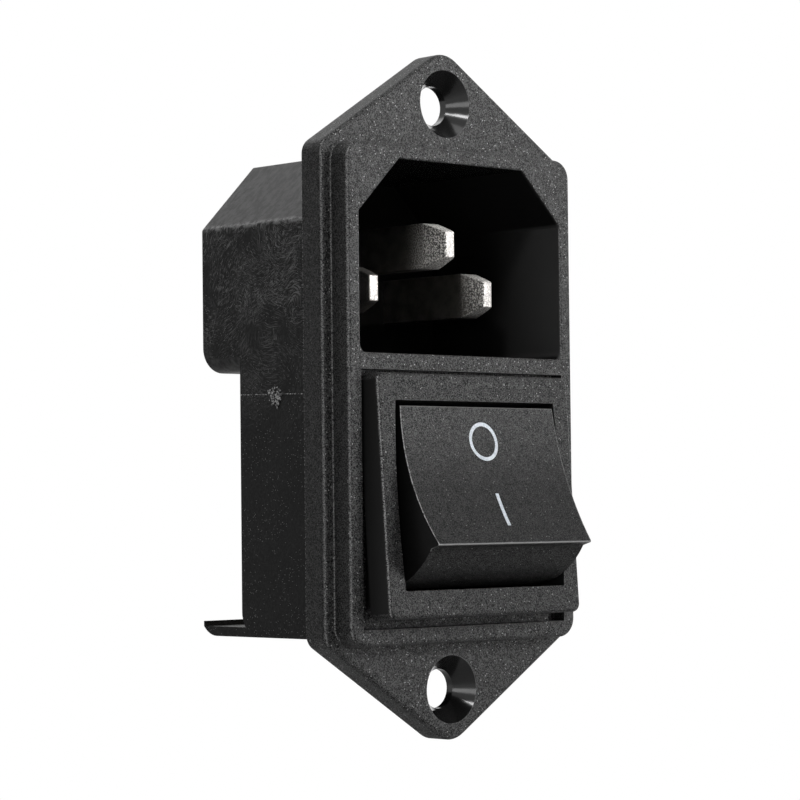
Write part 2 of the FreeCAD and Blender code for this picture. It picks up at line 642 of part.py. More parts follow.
# Rocker: concave face, skirt about the pivot, trunnions and two plunger tubes
def make_rocker():
    body = new_body("rocker")
    sketch = new_sketch(body, "section_sketch", "YZ_Plane")
    tip, half = "-rocker_tip_reach", "rocker_tip_half_height"
    lip = "-rocker_tip_reach + rocker_lip"
    lip_half = "sqrt(rocker_skirt_radius ^ 2 - (rocker_tip_reach - rocker_lip) ^ 2)"
    skirt_half = "sqrt(rocker_skirt_radius ^ 2 - rocker_skirt_depth ^ 2)"
    outline(sketch, [
        (tip, half),
        (tip, "-" + half),
        (lip, "-" + lip_half),
        ("rocker_skirt_depth", "-" + skirt_half),
        ("rocker_skirt_depth", skirt_half),
        (lip, lip_half),
    ], arcs={0: ("rocker_face_radius", -1), 2: ("rocker_skirt_radius", 1), 4: ("rocker_skirt_radius", 1)})
    add_feature(body, "Pad", "section", sketch, "2 * rocker_half_width + 2 * rocker_bow", both_ways=True)
    # its sides, bowed between the tips
    sketch = new_sketch(body, "side_sketch", "XZ_Plane")
    outline(sketch, [
        ("rocker_half_width", "-2 * rocker_skirt_radius"),
        ("rocker_half_width", "-" + half),
        ("rocker_half_width", half),
        ("rocker_half_width", "2 * rocker_skirt_radius"),
        ("2 * rocker_half_width", "2 * rocker_skirt_radius"),
        ("2 * rocker_half_width", "-2 * rocker_skirt_radius"),
    ], arcs={1: (bow_radius(half, "rocker_bow"), 1)})
    trimmed = add_feature(body, "Pocket", "side", sketch, "4 * rocker_skirt_radius", both_ways=True)
    mirror(body, "second_side", trimmed, "YZ_Plane")
    # the face's outline: the two straight tips and the hollow side edges between them
    top, side = value_of(half), value_of("rocker_half_width")
    reach = -value_of("rocker_tip_reach")

    def bounds_face(edge):
        middle = edge.CenterOfMass
        at_tip = near(middle.y, reach) and near(abs(middle.z), top)
        return at_tip or (abs(middle.x) > side and near(middle.z, 0) and middle.y < 0)

    round_edges(body, "face_edges", "rocker_edge_round", bounds_face)
    # hollow behind the face, open at the back
    sketch = new_sketch(body, "hollow_sketch", "XZ_Plane", "-rocker_skirt_depth")
    inner_half = skirt_half + " - rocker_wall"
    rectangle(sketch, "-rocker_half_width + rocker_wall", "rocker_half_width - rocker_wall",
              "-(%s)" % inner_half, inner_half)
    sag = "(rocker_face_radius - sqrt(rocker_face_radius ^ 2 - rocker_tip_half_height ^ 2))"
    face_inside = "(rocker_tip_reach - %s - rocker_wall)" % sag
    add_feature(body, "Pocket", "hollow", sketch, face_inside + " + rocker_skirt_depth", turned=True)
    # tubes for the plungers
    for side, name in ((-1, "left"), (1, "right")):
        middle = "%d * pole_offset" % side
        sketch = new_sketch(body, name + "_tube_sketch", "XZ_Plane", "-tube_reach")
        circle(sketch, middle, "0", TUBE_RADIUS)
        add_feature(body, "Pad", name + "_tube", sketch, face_inside + " + tube_reach + rocker_wall / 4")
        sketch = new_sketch(body, name + "_bore_sketch", "XZ_Plane", "-tube_reach")
        circle(sketch, middle, "0", BORE_RADIUS)
        add_feature(body, "Pocket", name + "_bore", sketch, BORE_END + " + tube_reach", turned=True)
    # trunnions
    sketch = new_sketch(body, "trunnion_sketch", "YZ_Plane", "rocker_half_width - rocker_wall / 2")
    circle(sketch, "0", "0", "trunnion_radius")
    trunnion = add_feature(body, "Pad", "trunnion", sketch,
                           BODY_HALF_WIDTH + " - trunnion_end_gap - rocker_half_width + rocker_wall / 2")
    mirror(body, "second_trunnion", trunnion, "YZ_Plane")
    place(body, "0", "-pivot_front", "pivot_height", "-switch_lean - rocker_half_swing")
    return body


# Plungers: round-ended pegs that slide in the rocker's tubes
def revolve(body, name, corners, arcs=None):
    """A solid of revolution about the body's Y axis."""
    sketch = new_sketch(body, name + "_sketch", "YZ_Plane")
    outline(sketch, corners, arcs)
    feature = body.newObject("PartDesign::Revolution", body.Name + "_" + name)
    feature.Profile = sketch
    feature.ReferenceAxis = (sketch, ["H_Axis"])
    document.recompute()
    return feature


def make_plunger(label, side):
    body = new_body(label)
    revolve(body, "peg", [
        (PLUNGER_TOP + " - plunger_neck_length", "0"),
        ("plunger_reach", "0"),
        ("plunger_reach - plunger_radius", "plunger_radius"),
        (PLUNGER_TOP, "plunger_radius"),
        (PLUNGER_TOP, "plunger_neck_radius"),
        (PLUNGER_TOP + " - plunger_neck_length", "plunger_neck_radius"),
    ], arcs={1: ("plunger_radius", 1)})
    place(body, "%d * pole_offset" % side, "-pivot_front", "pivot_height", "-switch_lean - rocker_half_swing")
    return body


def make_spring(label, side):
    body = new_body(label)
    sketch = new_sketch(body, "wire_sketch", "YZ_Plane")
    start = "-" + BORE_END + " + spring_wire_radius + spring_end_gap"
    # the wire's section is a polygon with the radius of the wire, which keeps the model light
    outline(sketch, [
        ("%s + spring_wire_radius * cos(%s * 1deg)" % (start, angle),
         "spring_coil_radius + spring_wire_radius * sin(%s * 1deg)" % angle)
        for angle in (360 * corner / WIRE_SIDES for corner in range(WIRE_SIDES))
    ])
    coil = body.newObject("PartDesign::AdditiveHelix", label + "_coil")
    coil.Profile = sketch
    coil.ReferenceAxis = (sketch, ["H_Axis"])
    coil.Mode = "height-turns-angle"
    coil.setExpression("Height", formula("spring_space - 2 * spring_wire_radius - 2 * spring_end_gap"))
    coil.setExpression("Turns", formula("spring_turns"))
    document.recompute()
    place(body, "%d * pole_offset" % side, "-pivot_front", "pivot_height", "-switch_lean - rocker_half_swing")
    return body


# Contact levers: a bent strip whose cradle rocks on the centre terminal
def lever_place(body, side):
    back = "-pivot_front + lever_hinge_reach * cos(switch_lean * 1deg)"
    up = "pivot_height - lever_hinge_reach * sin(switch_lean * 1deg)"
    place(body, "%d * pole_offset" % side, back, up, "-switch_lean + lever_half_swing")


def make_lever(label, side):
    body = new_body(label)
    sketch = new_sketch(body, "strip_sketch", "YZ_Plane")
    bend = "cradle_half_length + lever_thickness * tan(cradle_angle * 0.5deg)"
    outside = "-(%s - lever_thickness)" % ARM_RISE
    inside = "-" + ARM_RISE
    outline(sketch, [
        ("0", "0"),
        (outside, bend),
        (outside, "lever_contact_end"),
        (inside, "lever_contact_end"),
        (inside, "cradle_half_length"),
        ("-" + LEVER_DROP, "0"),
        (inside, "-cradle_half_length"),
        (inside, "-lever_free_end"),
        (outside, "-lever_free_end"),
        (outside, "-(%s)" % bend),
    ])
    add_feature(body, "Pad", "strip", sketch, "2 * lever_half_width", both_ways=True)
    sketch = new_sketch(body, "rivet_hole_sketch", "XZ_Plane", ARM_RISE + " + lever_thickness")
    circle(sketch, "0", "rivet_distance", "rivet_shank_radius")
    add_feature(body, "Pocket", "rivet_hole", sketch, "3 * lever_thickness")
    lever_place(body, side)
    return body


def rivet_profile(shoulder, thickness, outward, centre):
    """Half section of a contact rivet: shank through a strip, domed head on one side of it."""
    tail = "%s - (%d) * %s" % (shoulder, outward, thickness)
    rim = "%s + (%d) * rivet_head_height" % (shoulder, outward)
    crown = "%s + (%d) * %s" % (shoulder, outward, RIVET_HEIGHT)
    return [
        (tail, centre),
        (crown, centre),
        (rim, centre + " + rivet_head_radius"),
        (shoulder, centre + " + rivet_head_radius"),
        (shoulder, centre + " + rivet_shank_radius"),
        (tail, centre + " + rivet_shank_radius"),
    ]


def make_rivet(label, shoulder, thickness, outward, centre):
    body = new_body(label)
    sketch = new_sketch(body, "rivet_sketch", "YZ_Plane")
    dome = "(rivet_head_radius ^ 2 + rivet_dome_height ^ 2) / (2 * rivet_dome_height)"
    outline(sketch, rivet_profile(shoulder, thickness, outward, centre), arcs={1: (dome, outward)})
    turning_axis(sketch, centre)
    feature = body.newObject("PartDesign::Revolution", label + "_turned")
    feature.Profile = sketch
    feature.ReferenceAxis = (sketch, ["Axis0"])
    document.recompute()
    return body


# Terminals of the switch
def tab_nose_corners(end):
    half = "tab_width / 2"
    return [
        (half, end + " - tab_nose"),
        (half + " - tab_nose", end),
        ("-tab_width / 2 + tab_nose", end),
        ("-tab_width / 2", end + " - tab_nose"),
    ]


def make_centre_terminal(label, side):
    body = new_body(label)
    sketch = new_sketch(body, "sheet_sketch", "XY_Plane")
    notch = "lever_hinge_reach + terminal_knife_gap"
    ear = "lever_half_width + terminal_fork_clearance"
    outline(sketch, [
        ("-tab_width / 2", notch + " - terminal_fork_depth"),
        ("-(%s)" % ear, notch + " - terminal_fork_depth"),
        ("-(%s)" % ear, notch),
        (ear, notch),
        (ear, notch + " - terminal_fork_depth"),
        ("tab_width / 2", notch + " - terminal_fork_depth"),
    ] + tab_nose_corners(TAB_END))
    circle(sketch, "0", TAB_END + " - tab_hole_setback", "tab_hole_radius")
    add_feature(body, "Pad", "sheet", sketch, "tab_thickness", both_ways=True)
    place(body, "%d * pole_offset" % side, "-pivot_front", "pivot_height", "-switch_lean")
    return body


def make_end_terminal(label, side):
    body = new_body(label)
    sketch = new_sketch(body, "tab_sketch", "XY_Plane", "end_terminal_height")
    outline(sketch, [
        ("-tab_width / 2", END_PLATE_FRONT),
        ("tab_width / 2", END_PLATE_FRONT),
    ] + tab_nose_corners(TAB_END))
    circle(sketch, "0", TAB_END + " - tab_hole_setback", "tab_hole_radius")
    add_feature(body, "Pad", "tab", sketch, "tab_thickness")
    block(body, "foot", "-" + END_PLATE_BACK, "-" + END_PLATE_FRONT, "-tab_width / 2", "tab_width / 2",
          "end_terminal_foot", "end_terminal_height + tab_thickness")
    sketch = new_sketch(body, "rivet_hole_sketch", "XZ_Plane", "-" + END_PLATE_FRONT + " + tab_thickness")
    circle(sketch, "0", FIXED_RIVET_HEIGHT, "rivet_shank_radius")
    add_feature(body, "Pocket", "rivet_hole", sketch, "2 * tab_thickness")
    place(body, "%d * pole_offset" % side, "-pivot_front", "pivot_height", "-switch_lean")
    return body


def make_parts():
    parts = [make_inlet_housing()]
    for label, across, up, tip_depth in PIN_PLACES:
        parts.append(make_pin(label, across, up, tip_depth))
    parts += [make_switch_housing(), make_rocker()]
    for side, name in ((-1, "left"), (1, "right")):
        parts.append(make_plunger("plunger_" + name, side))
        parts.append(make_spring("plunger_spring_" + name, side))
        parts.append(make_lever("contact_lever_" + name, side))
        moving = make_rivet("lever_rivet_" + name, "-(%s - lever_thickness)" % ARM_RISE, "lever_thickness",
                            1, "rivet_distance")
        lever_place(moving, side)
        parts.append(moving)
        parts.append(make_centre_terminal("centre_terminal_" + name, side))
        parts.append(make_end_terminal("end_terminal_" + name, side))
        fixed = make_rivet("fixed_rivet_" + name, END_PLATE_FRONT, "tab_thickness", -1, FIXED_RIVET_HEIGHT)
        place(fixed, "%d * pole_offset" % side, "-pivot_front", "pivot_height", "-switch_lean")
        parts.append(fixed)
    return parts


def check(parts):
    for item in document.Objects:
        if "Invalid" in item.State or "Error" in item.State:
            raise RuntimeError("%s failed: %s" % (item.Name, item.State))
    for part in parts:
        shape = part.Shape
        if shape.isNull() or not shape.isValid() or len(shape.Solids) != 1:
            raise RuntimeError("%s has no single sound solid" % part.Label)


parts = make_parts()
document.recompute()
check(parts)
os.makedirs("parts", exist_ok=True)
for part in parts:
    part.Shape.exportStep("parts/%s.step" % part.Label)
    box = part.Shape.BoundBox
    print("%-22s %8.1f mm3  x %.2f %.2f  y %.2f %.2f  z %.2f %.2f" % (
        part.Label, part.Shape.Volume, box.XMin, box.XMax, box.YMin, box.YMax, box.ZMin, box.ZMax))
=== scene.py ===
import json
import math

import bmesh
import bpy
from mathutils import Matrix, Vector, noise
from mathutils.bvhtree import BVHTree


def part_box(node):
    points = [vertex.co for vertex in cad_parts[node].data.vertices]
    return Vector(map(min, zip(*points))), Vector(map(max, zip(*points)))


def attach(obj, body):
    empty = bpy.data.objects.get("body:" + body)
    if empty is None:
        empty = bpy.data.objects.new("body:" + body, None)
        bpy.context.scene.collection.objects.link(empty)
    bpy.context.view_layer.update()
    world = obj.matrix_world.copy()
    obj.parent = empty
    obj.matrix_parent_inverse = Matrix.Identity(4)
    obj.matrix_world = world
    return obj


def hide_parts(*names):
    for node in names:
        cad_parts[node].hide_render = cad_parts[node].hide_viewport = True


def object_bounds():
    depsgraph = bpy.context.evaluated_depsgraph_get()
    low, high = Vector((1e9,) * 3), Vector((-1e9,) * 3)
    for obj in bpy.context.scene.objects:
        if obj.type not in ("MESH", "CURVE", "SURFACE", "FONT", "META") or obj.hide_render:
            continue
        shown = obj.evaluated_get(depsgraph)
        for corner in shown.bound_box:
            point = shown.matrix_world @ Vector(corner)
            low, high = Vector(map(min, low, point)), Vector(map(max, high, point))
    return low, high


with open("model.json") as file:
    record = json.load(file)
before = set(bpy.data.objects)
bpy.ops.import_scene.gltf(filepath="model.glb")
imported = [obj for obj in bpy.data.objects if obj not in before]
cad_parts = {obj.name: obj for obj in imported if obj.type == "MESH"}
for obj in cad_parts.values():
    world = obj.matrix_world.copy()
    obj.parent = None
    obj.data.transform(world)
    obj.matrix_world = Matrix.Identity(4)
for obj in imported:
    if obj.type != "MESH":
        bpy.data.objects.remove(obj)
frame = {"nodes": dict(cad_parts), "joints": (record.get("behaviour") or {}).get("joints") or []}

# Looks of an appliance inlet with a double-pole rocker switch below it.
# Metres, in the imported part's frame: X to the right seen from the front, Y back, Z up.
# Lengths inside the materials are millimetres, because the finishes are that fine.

MILLIMETRE = 0.001
CAD_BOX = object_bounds()

# Camera, where the photograph was taken from: place in metres, angles in degrees, lens in millimetres
CAMERA_PLACE = (-0.17803870, -0.18630657, -0.00987772)
CAMERA_TURN = -43.1237
CAMERA_TILT = 2.1341
CAMERA_ROLL = -0.6283
CAMERA_LENS = 130.5356
SENSOR_WIDTH = 36.0
CAMERA_NEAR = 0.01

# Light: name, place, aim, width and height in metres, spread in degrees, power in watts
SOFTBOXES = [
    ("key_light", (0.157, -0.296, 0.156), (-0.042, -0.022, 0.150), (0.12, 0.12), 75.0, 0.30),
    ("sheen_light", (0.27, -0.29, 0.02), (-0.04, -0.04, 0.12), (0.20, 0.20), 75.0, 0.21),
    ("top_light", (0.0, -0.12, 0.36), (0.0, 0.0, 0.0), (0.20, 0.20), 180.0, 0.20),
    ("back_light", (0.03, 0.28, 0.30), (0.0, 0.0, 0.0), (0.24, 0.24), 180.0, 0.25),
    ("edge_light", (-0.35, -0.19, 0.025), (0.0, 0.0, 0.0), (0.04, 0.10), 180.0, 0.07),
    ("left_light", (-0.26, -0.17, 0.25), (0.0, 0.0, 0.02), (0.05, 0.05), 180.0, 0.30),
]
ROOM_LIGHT = 0.10
BACKGROUND_WHITE = 1.0

# Floor: how far below the object's lowest point it lies, its finish, and where it fades into the background
FLOOR_DROP = 0.03
FLOOR_HALF_SIZE = 3.0
FLOOR_GREY = 0.86
FLOOR_ROUGHNESS = 0.7
FLOOR_GLOSS = 0.2
FLOOR_FADE = (0.05, 0.22)

# Rocker: its pivot, and how many degrees it leans at rest
ROCKER_PIVOT = next(joint["pos_m"] for joint in frame["joints"] if joint["name"] == "rocker_swing")
ROCKER_LEAN = -21.4
# its face in millimetres: half its height, half its width at mid height, how much less that is at its ends
ROCKER_HALF_HEIGHT = 6.42
ROCKER_HALF_WIDTH = 9.55
ROCKER_DRAW_IN = 0.25
# its lower and upper tip: back, height and how worn
ROCKER_TIPS = ((-10.81, -13.03, 0.7), (-6.12, -1.07, 0.3))
# the heights between which its pale tone is darkened downwards as painted shade, and the share of that tone
# left below them
ROCKER_PAINTED_SHADE = (-8.5, -2.5, 0.6)

# Housing in millimetres: the screws' height above and below the middle, and their countersinks' radius
SCREW_HEIGHT = 25.85
COUNTERSINK_RADIUS = 3.02
# the inlet's cavity as a box, and across plus up on the two slopes that cut off its upper corners
CAVITY_MIDDLE = (0.0, 4.15, 11.85)
CAVITY_HALF_SIZE = (12.27, 8.64, 8.42)
CAVITY_SLOPE_SUM = 27.8
# how far its side walls are from the middle, and how high the edges are where they turn into the slopes
SIDE_WALL = 13.5
SLOPE_EDGE_HEIGHT = 15.25

# Pins: half their thickness and width on the blade, on the solid's tip and on the coined tip
PIN_NAMES = ("earth_pin", "live_pin", "neutral_pin")
PIN_HALF_SIZE = (0.001, 0.002)
PIN_TIP_SOLID = (0.0006, 0.0013)
PIN_TIP_COINED = (0.00052, 0.00114)
# the length of their tapers, the power by which the coined bevels ease into the blade, their edges' rounding
PIN_TAPER = 0.0024
PIN_BEVEL_POWER = 0.9
PIN_EDGE_ROUND = 0.00013
PIN_EDGE_SEGMENTS = 3
# angles between faces in degrees: up to the first they are one face, from the second their edge is sharp
FLAT_ANGLE = 1.0
SHARP_EDGE = 20.0
# corners closer together than this are one
SAME_PLACE = 0.000001
# their nickel in millimetres: where the tips are, and how far back from them it is rubbed
EARTH_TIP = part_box("earth_pin")[0].y / MILLIMETRE
LINE_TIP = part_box("live_pin")[0].y / MILLIMETRE
EARTH_RUBBED = 5.6
LINE_RUBBED = 3.2
# across, the gap from the earth pin to either line pin, and the gap from the live pin to the earth pin
EARTH_TO_LINE = (2.0, 3.0)
LIVE_TO_EARTH = (-6.0, -5.0)
# how much of the rubbed pale nickel the live pin keeps beside the others: painted shade, as its flank lies
# in the cavity wall's shadow
LIVE_PIN_PAINTED_SHADE_SHARE = 0.08

# Switch marks in the rocker's own frame: how far in front its face is looked for, and the ink's thickness
MARK_START = -0.009
MARK_THICKNESS = 0.00002
# the places and sizes of the O and the I
RING_CENTRE = (0.00015, 0.00333)
RING_RADII = (0.00138, 0.00171)
RING_SEGMENTS = 96
BAR_CENTRE_X = 0.00015
BAR_HALF_WIDTH = 0.00019
BAR_ENDS = (-0.004575, -0.001448)
BAR_SEGMENTS = 24

# Gate mark on the housing's left side: back and height of its middle, its radius and how far it stands out
GATE_PLACE = (0.0052, -0.00005)
GATE_RADIUS = 0.00085
GATE_HEIGHT = 0.00012
GATE_RINGS = 9
GATE_SEGMENTS = 48
GATE_SAME_PLACE = 0.000002
# how far its outline wanders, how many lobes it has and how much they change towards the middle
GATE_WANDER = 0.7
GATE_LOBES = 2.3
GATE_LOBE_CHANGE = 4.0
# its top: how much of its height is even and how much is lumps, how close they lie, which noise they follow
GATE_EVEN_SHARE = 0.55
GATE_LUMP_SHARE = 0.6
GATE_LUMPS = 9.0
GATE_LUMP_PATTERN = 2.0

# Parting line on the same wall: where it runs, its height at both ends, its section and how it wanders
PARTING_RUN = (0.0001, 0.00998)
PARTING_HEIGHTS = (0.00004, 0.00024)
PARTING_HALF_WIDTH = 0.00005
PARTING_RELIEF = 0.00003
PARTING_SEGMENTS = 40
PARTING_WANDER = 0.00003
PARTING_WAVES = 900.0

# Black plastic: gloss, roughness where it is rubbed, how much rougher pits and smoother lands are
PLASTIC_GLOSS = 0.09
RUBBED_ROUGHNESS = 0.3
PIT_ROUGHNESS = 0.08
# the switch's black plastic: share of the texture's depth on its sides, grey of its worn edges, paler as a
# painted highlight along them
SIDE_RELIEF = 0.2
WORN_AND_HIGHLIGHT_GREY = 0.36
# how far a normal has to point along an axis, from and to, to count as half turned to it and as facing it
HALF_TURNED = (0.42, 0.62)
FACING = (0.93, 0.98)

# Mould texture: how much closer than its pits the fine and broad ones lie, and what each adds to the tone
FINE_PITS = 1.8
BROAD_PITS = 0.2
PIT_TONE = 0.45
BROAD_TONE = 0.1
# the tones that become its dark pits and its pale lands
PIT_CONTRAST = (0.42, 0.60)
# how much closer than its pits the places for painted glints lie, and a painted glint's radius as a share of
# its place
PAINTED_GLINTS_PER_PIT = 0.8
PAINTED_GLINT_RADIUS = 0.42

# Glass fibre: turn in radians and offset in millimetres of each layer of strands, and their contrast
FIBRE_LAYERS = ((0.45, 0.0), (-0.5, 41.0), (1.35, 87.0))
FIBRE_CONTRAST = (0.53, 0.67)
# swirls in the melt's flow per millimetre, and how many millimetres they bend the strands
FLOW_SCALE = 0.16
FLOW_BEND = 6.0

# Greys of the housing's front: texture from pits to lands, painted glints, worn edges with a painted
# highlight, and sides with their share
TEXTURE_GREYS = (0.002, 0.100)
PAINTED_GLINT_GREY = 0.42
EDGE_WEAR_AND_HIGHLIGHT_GREY = 0.25
SIDE_GREY = 0.002
SIDE_SHARE = 0.4
# greys of its plain walls: skin, strands, specks, smears on the slopes, a painted highlight along the
# slopes' lower edges, and mould marks
SKIN_GREYS = (0.001, 0.008)
STRAND_GREY = 0.17
SPECK_GREY = 0.32
SMEAR_GREYS = (0.008, 0.050)
SLOPE_EDGE_HIGHLIGHT_GREY = 0.22
MOULD_MARK_GREYS = (0.01, 0.5)
# greys of its hollows, and of the cavity's right wall at the mouth, painted paler there as painted light and
# darker deeper in as painted shade; their roughness and share of the relief
HOLLOW_AND_PAINTED_MOUTH_GREYS = (0.009, 0.05)
HOLLOW_ROUGHNESS = 0.13
HOLLOW_RELIEF = 0.03
# the polish of its countersinks
SUNK_COAT = 0.6
SUNK_COAT_ROUGHNESS = 0.16

# Nickel of the pins, from dark to light: dull plate, rubbed grain, rubbed bevels and polished ends
PLATE_COLOURS = ((0.17, 0.16, 0.15), (0.26, 0.25, 0.23))
RUBBED_COLOURS = ((0.10, 0.095, 0.09), (0.90, 0.88, 0.85))
BEVEL_COLOURS = ((0.50, 0.49, 0.47), (0.90, 0.88, 0.85))
END_COLOURS = ((0.30, 0.29, 0.28), (0.62, 0.60, 0.58))

# Other metals: darker and lighter colour, roughness, stretch of the grain and its depth in millimetres
METALS = {
    "terminal_brass": ((0.66, 0.48, 0.24), (0.80, 0.62, 0.33), 0.30, (1.0, 0.2, 1.0), 0.003),
    "lever_copper": ((0.60, 0.31, 0.20), (0.78, 0.44, 0.29), 0.32, (1.0, 1.0, 0.2), 0.003),
    "contact_silver": ((0.74, 0.73, 0.70), (0.88, 0.87, 0.85), 0.24, (1.0, 1.0, 1.0), 0.002),
    "spring_steel": ((0.45, 0.45, 0.46), (0.62, 0.62, 0.62), 0.25, (1.0, 0.3, 1.0), 0.002),
}

# Nylon and ink, from dark to light, and how many metres light goes into the nylon
NYLON_COLOURS = ((0.70, 0.67, 0.60), (0.84, 0.82, 0.76))
NYLON_DEPTH = 0.0008
INK_COLOURS = ((0.44, 0.48, 0.53), (0.66, 0.70, 0.75))


def link(tree, value, socket):
    """Put a number or colour on a socket, or join another node's output to it."""
    if isinstance(value, bpy.types.NodeSocket):
        tree.links.new(value, socket)
    else:
        socket.default_value = value


def maths(tree, operation, first, second=None, third=None):
    """A Math node's output."""
    node = tree.nodes.new("ShaderNodeMath")
    node.operation = operation
    for value, socket in zip((first, second, third), node.inputs):
        if value is not None:
            link(tree, value, socket)
    return node.outputs[0]


def vector_maths(tree, operation, first, second=None, output=0):
    """A Vector Math node's output."""
    node = tree.nodes.new("ShaderNodeVectorMath")
    node.operation = operation
    link(tree, first, node.inputs[0])
    if second is not None:
        link(tree, second, node.inputs["Scale"] if operation == "SCALE" else node.inputs[1])
    return node.outputs[output]


def length_of(tree, vector):
    """A vector's length."""
    return vector_maths(tree, "LENGTH", vector, output="Value")


def split_of(tree, vector):
    """A vector's three numbers."""
    node = tree.nodes.new("ShaderNodeSeparateXYZ")
    link(tree, vector, node.inputs[0])
    return node.outputs[0], node.outputs[1], node.outputs[2]


def ramp(tree, value, low, high, bottom=0.0, top=1.0):
    """The value carried smoothly from low..high to bottom..top, and held outside them."""
    node = tree.nodes.new("ShaderNodeMapRange")
    node.interpolation_type = "SMOOTHSTEP"
    link(tree, value, node.inputs["Value"])
    for name, setting in (("From Min", low), ("From Max", high), ("To Min", bottom), ("To Max", top)):
        link(tree, setting, node.inputs[name])
    return node.outputs["Result"]


def mix_of(tree, kind, factor, first, second):
    """A Mix node's output."""
    node = tree.nodes.new("ShaderNodeMix")
    node.data_type = kind
    for value, name in ((factor, "Factor"), (first, "A"), (second, "B")):
        link(tree, value, node.inputs[name])
    return node.outputs["Result"]


def mix_value(tree, factor, first, second):
    """From the first number to the second by the factor."""
    return mix_of(tree, "FLOAT", factor, first, second)


def mix_colour(tree, factor, first, second):
    """From the first colour to the second by the factor."""
    return mix_of(tree, "RGBA", factor, colour_of(first), colour_of(second))


def colour_of(value):
    """A colour with its alpha from a grey or three numbers, and another node's output as it is."""
    if isinstance(value, float):
        return (value, value, value, 1.0)
    if isinstance(value, tuple):
        return (*value, 1.0)
    return value


def noise_of(tree, place, scale, detail=2.0, roughness=0.5):
    """A noise texture's value at a place in millimetres; scale is features per millimetre."""
    node = tree.nodes.new("ShaderNodeTexNoise")
    link(tree, place, node.inputs["Vector"])
    link(tree, scale, node.inputs["Scale"])
    node.inputs["Detail"].default_value = detail
    node.inputs["Roughness"].default_value = roughness
    return node.outputs["Fac"]


def dots_of(tree, place, scale, share, radius):
    """Round dots, 1 inside them, in a share of the cells of a Voronoi texture."""
    node = tree.nodes.new("ShaderNodeTexVoronoi")
    link(tree, place, node.inputs["Vector"])
    link(tree, scale, node.inputs["Scale"])
    chance = split_of(tree, node.outputs["Color"])[0]
    chosen = maths(tree, "LESS_THAN", chance, share)
    inside = ramp(tree, node.outputs["Distance"], 0.6 * radius, radius, 1.0, 0.0)
    return maths(tree, "MULTIPLY", chosen, inside)


def new_group(name, inputs, outputs):
    """An empty node group with named sockets; returns the tree, its inputs and its outputs."""
    tree = bpy.data.node_groups.new(name, "ShaderNodeTree")
    for socket, kind in inputs:
        tree.interface.new_socket(name=socket, in_out="INPUT", socket_type="NodeSocket" + kind)
    for socket, kind in outputs:
        tree.interface.new_socket(name=socket, in_out="OUTPUT", socket_type="NodeSocket" + kind)
    start = tree.nodes.new("NodeGroupInput")
    end = tree.nodes.new("NodeGroupOutput")
    return tree, start.outputs, end.inputs


def use_group(tree, group, **settings):
    """Place a group in a material; a setting's name is the socket's, with _ for a space."""
    node = tree.nodes.new("ShaderNodeGroup")
    node.node_tree = group
    for name, value in settings.items():
        link(tree, value, node.inputs[name.replace("_", " ")])
    return node.outputs


# Effects that the finishes are made of

def make_box_mask():
    """1 inside a box and 0 outside it, with a soft border of the given width."""
    tree, given, made = new_group(
        "box_mask",
        [("Place", "Vector"), ("Centre", "Vector"), ("Half Size", "Vector"), ("Border", "Float")],
        [("Mask", "Float")],
    )
    offset = vector_maths(tree, "SUBTRACT", given["Place"], given["Centre"])
    outside = vector_maths(tree, "SUBTRACT", vector_maths(tree, "ABSOLUTE", offset), given["Half Size"])
    across, back, up = split_of(tree, outside)
    furthest = maths(tree, "MAXIMUM", maths(tree, "MAXIMUM", across, back), up)
    tree.links.new(ramp(tree, furthest, 0.0, given["Border"], 1.0, 0.0), made["Mask"])
    return tree


def make_edge_wear_and_highlight():
    """Upright rounded edges, where the mould's texture fades and a highlight is painted, and the plain faces
    to left and right.
    """
    tree, given, made = new_group(
        "edge_wear_and_highlight",
        [("Normal", "Vector"), ("Place", "Vector")],
        [("Edges", "Float"), ("Sides", "Float")],
    )
    across, back, _ = split_of(tree, vector_maths(tree, "ABSOLUTE", given["Normal"]))
    turned = maths(tree, "MULTIPLY", ramp(tree, across, *HALF_TURNED), ramp(tree, back, *HALF_TURNED))
    broken = ramp(tree, noise_of(tree, given["Place"], 9.0, 2.0, 0.7), 0.42, 0.60)
    tree.links.new(maths(tree, "MULTIPLY", turned, broken), made["Edges"])
    tree.links.new(ramp(tree, across, *FACING), made["Sides"])
    return tree


def make_eroded_grain():
    """Spark-eroded mould texture: shallow rounded pits, with a painted glint on some of the rims."""
    tree, given, made = new_group(
        "eroded_grain",
        [("Place", "Vector"), ("Grain", "Float"), ("Fleck Share", "Float")],
        [("Height", "Float"), ("Tone", "Float"), ("Painted Glints", "Float")],
    )
    density = maths(tree, "DIVIDE", 1.0, given["Grain"])
    pits = noise_of(tree, given["Place"], density, 1.0, 0.6)
    fine = noise_of(tree, given["Place"], maths(tree, "MULTIPLY", density, FINE_PITS), 1.0, 0.5)
    broad = noise_of(tree, given["Place"], maths(tree, "MULTIPLY", density, BROAD_PITS), 1.0, 0.5)
    # noise averages 0.5, so one and a half of it less 0.75 is centred on 0
    height = maths(tree, "MULTIPLY_ADD", fine, 0.5, pits)
    tree.links.new(maths(tree, "SUBTRACT", height, 0.75), made["Height"])
    tone = maths(tree, "MULTIPLY_ADD", fine, PIT_TONE, maths(tree, "MULTIPLY", pits, PIT_TONE))
    tone = maths(tree, "MULTIPLY_ADD", broad, BROAD_TONE, tone)
    tree.links.new(ramp(tree, tone, *PIT_CONTRAST), made["Tone"])
    painted_glint_density = maths(tree, "MULTIPLY", density, PAINTED_GLINTS_PER_PIT)
    painted_glints = dots_of(tree, given["Place"], painted_glint_density, given["Fleck Share"], PAINTED_GLINT_RADIUS)
    tree.links.new(painted_glints, made["Painted Glints"])
    return tree


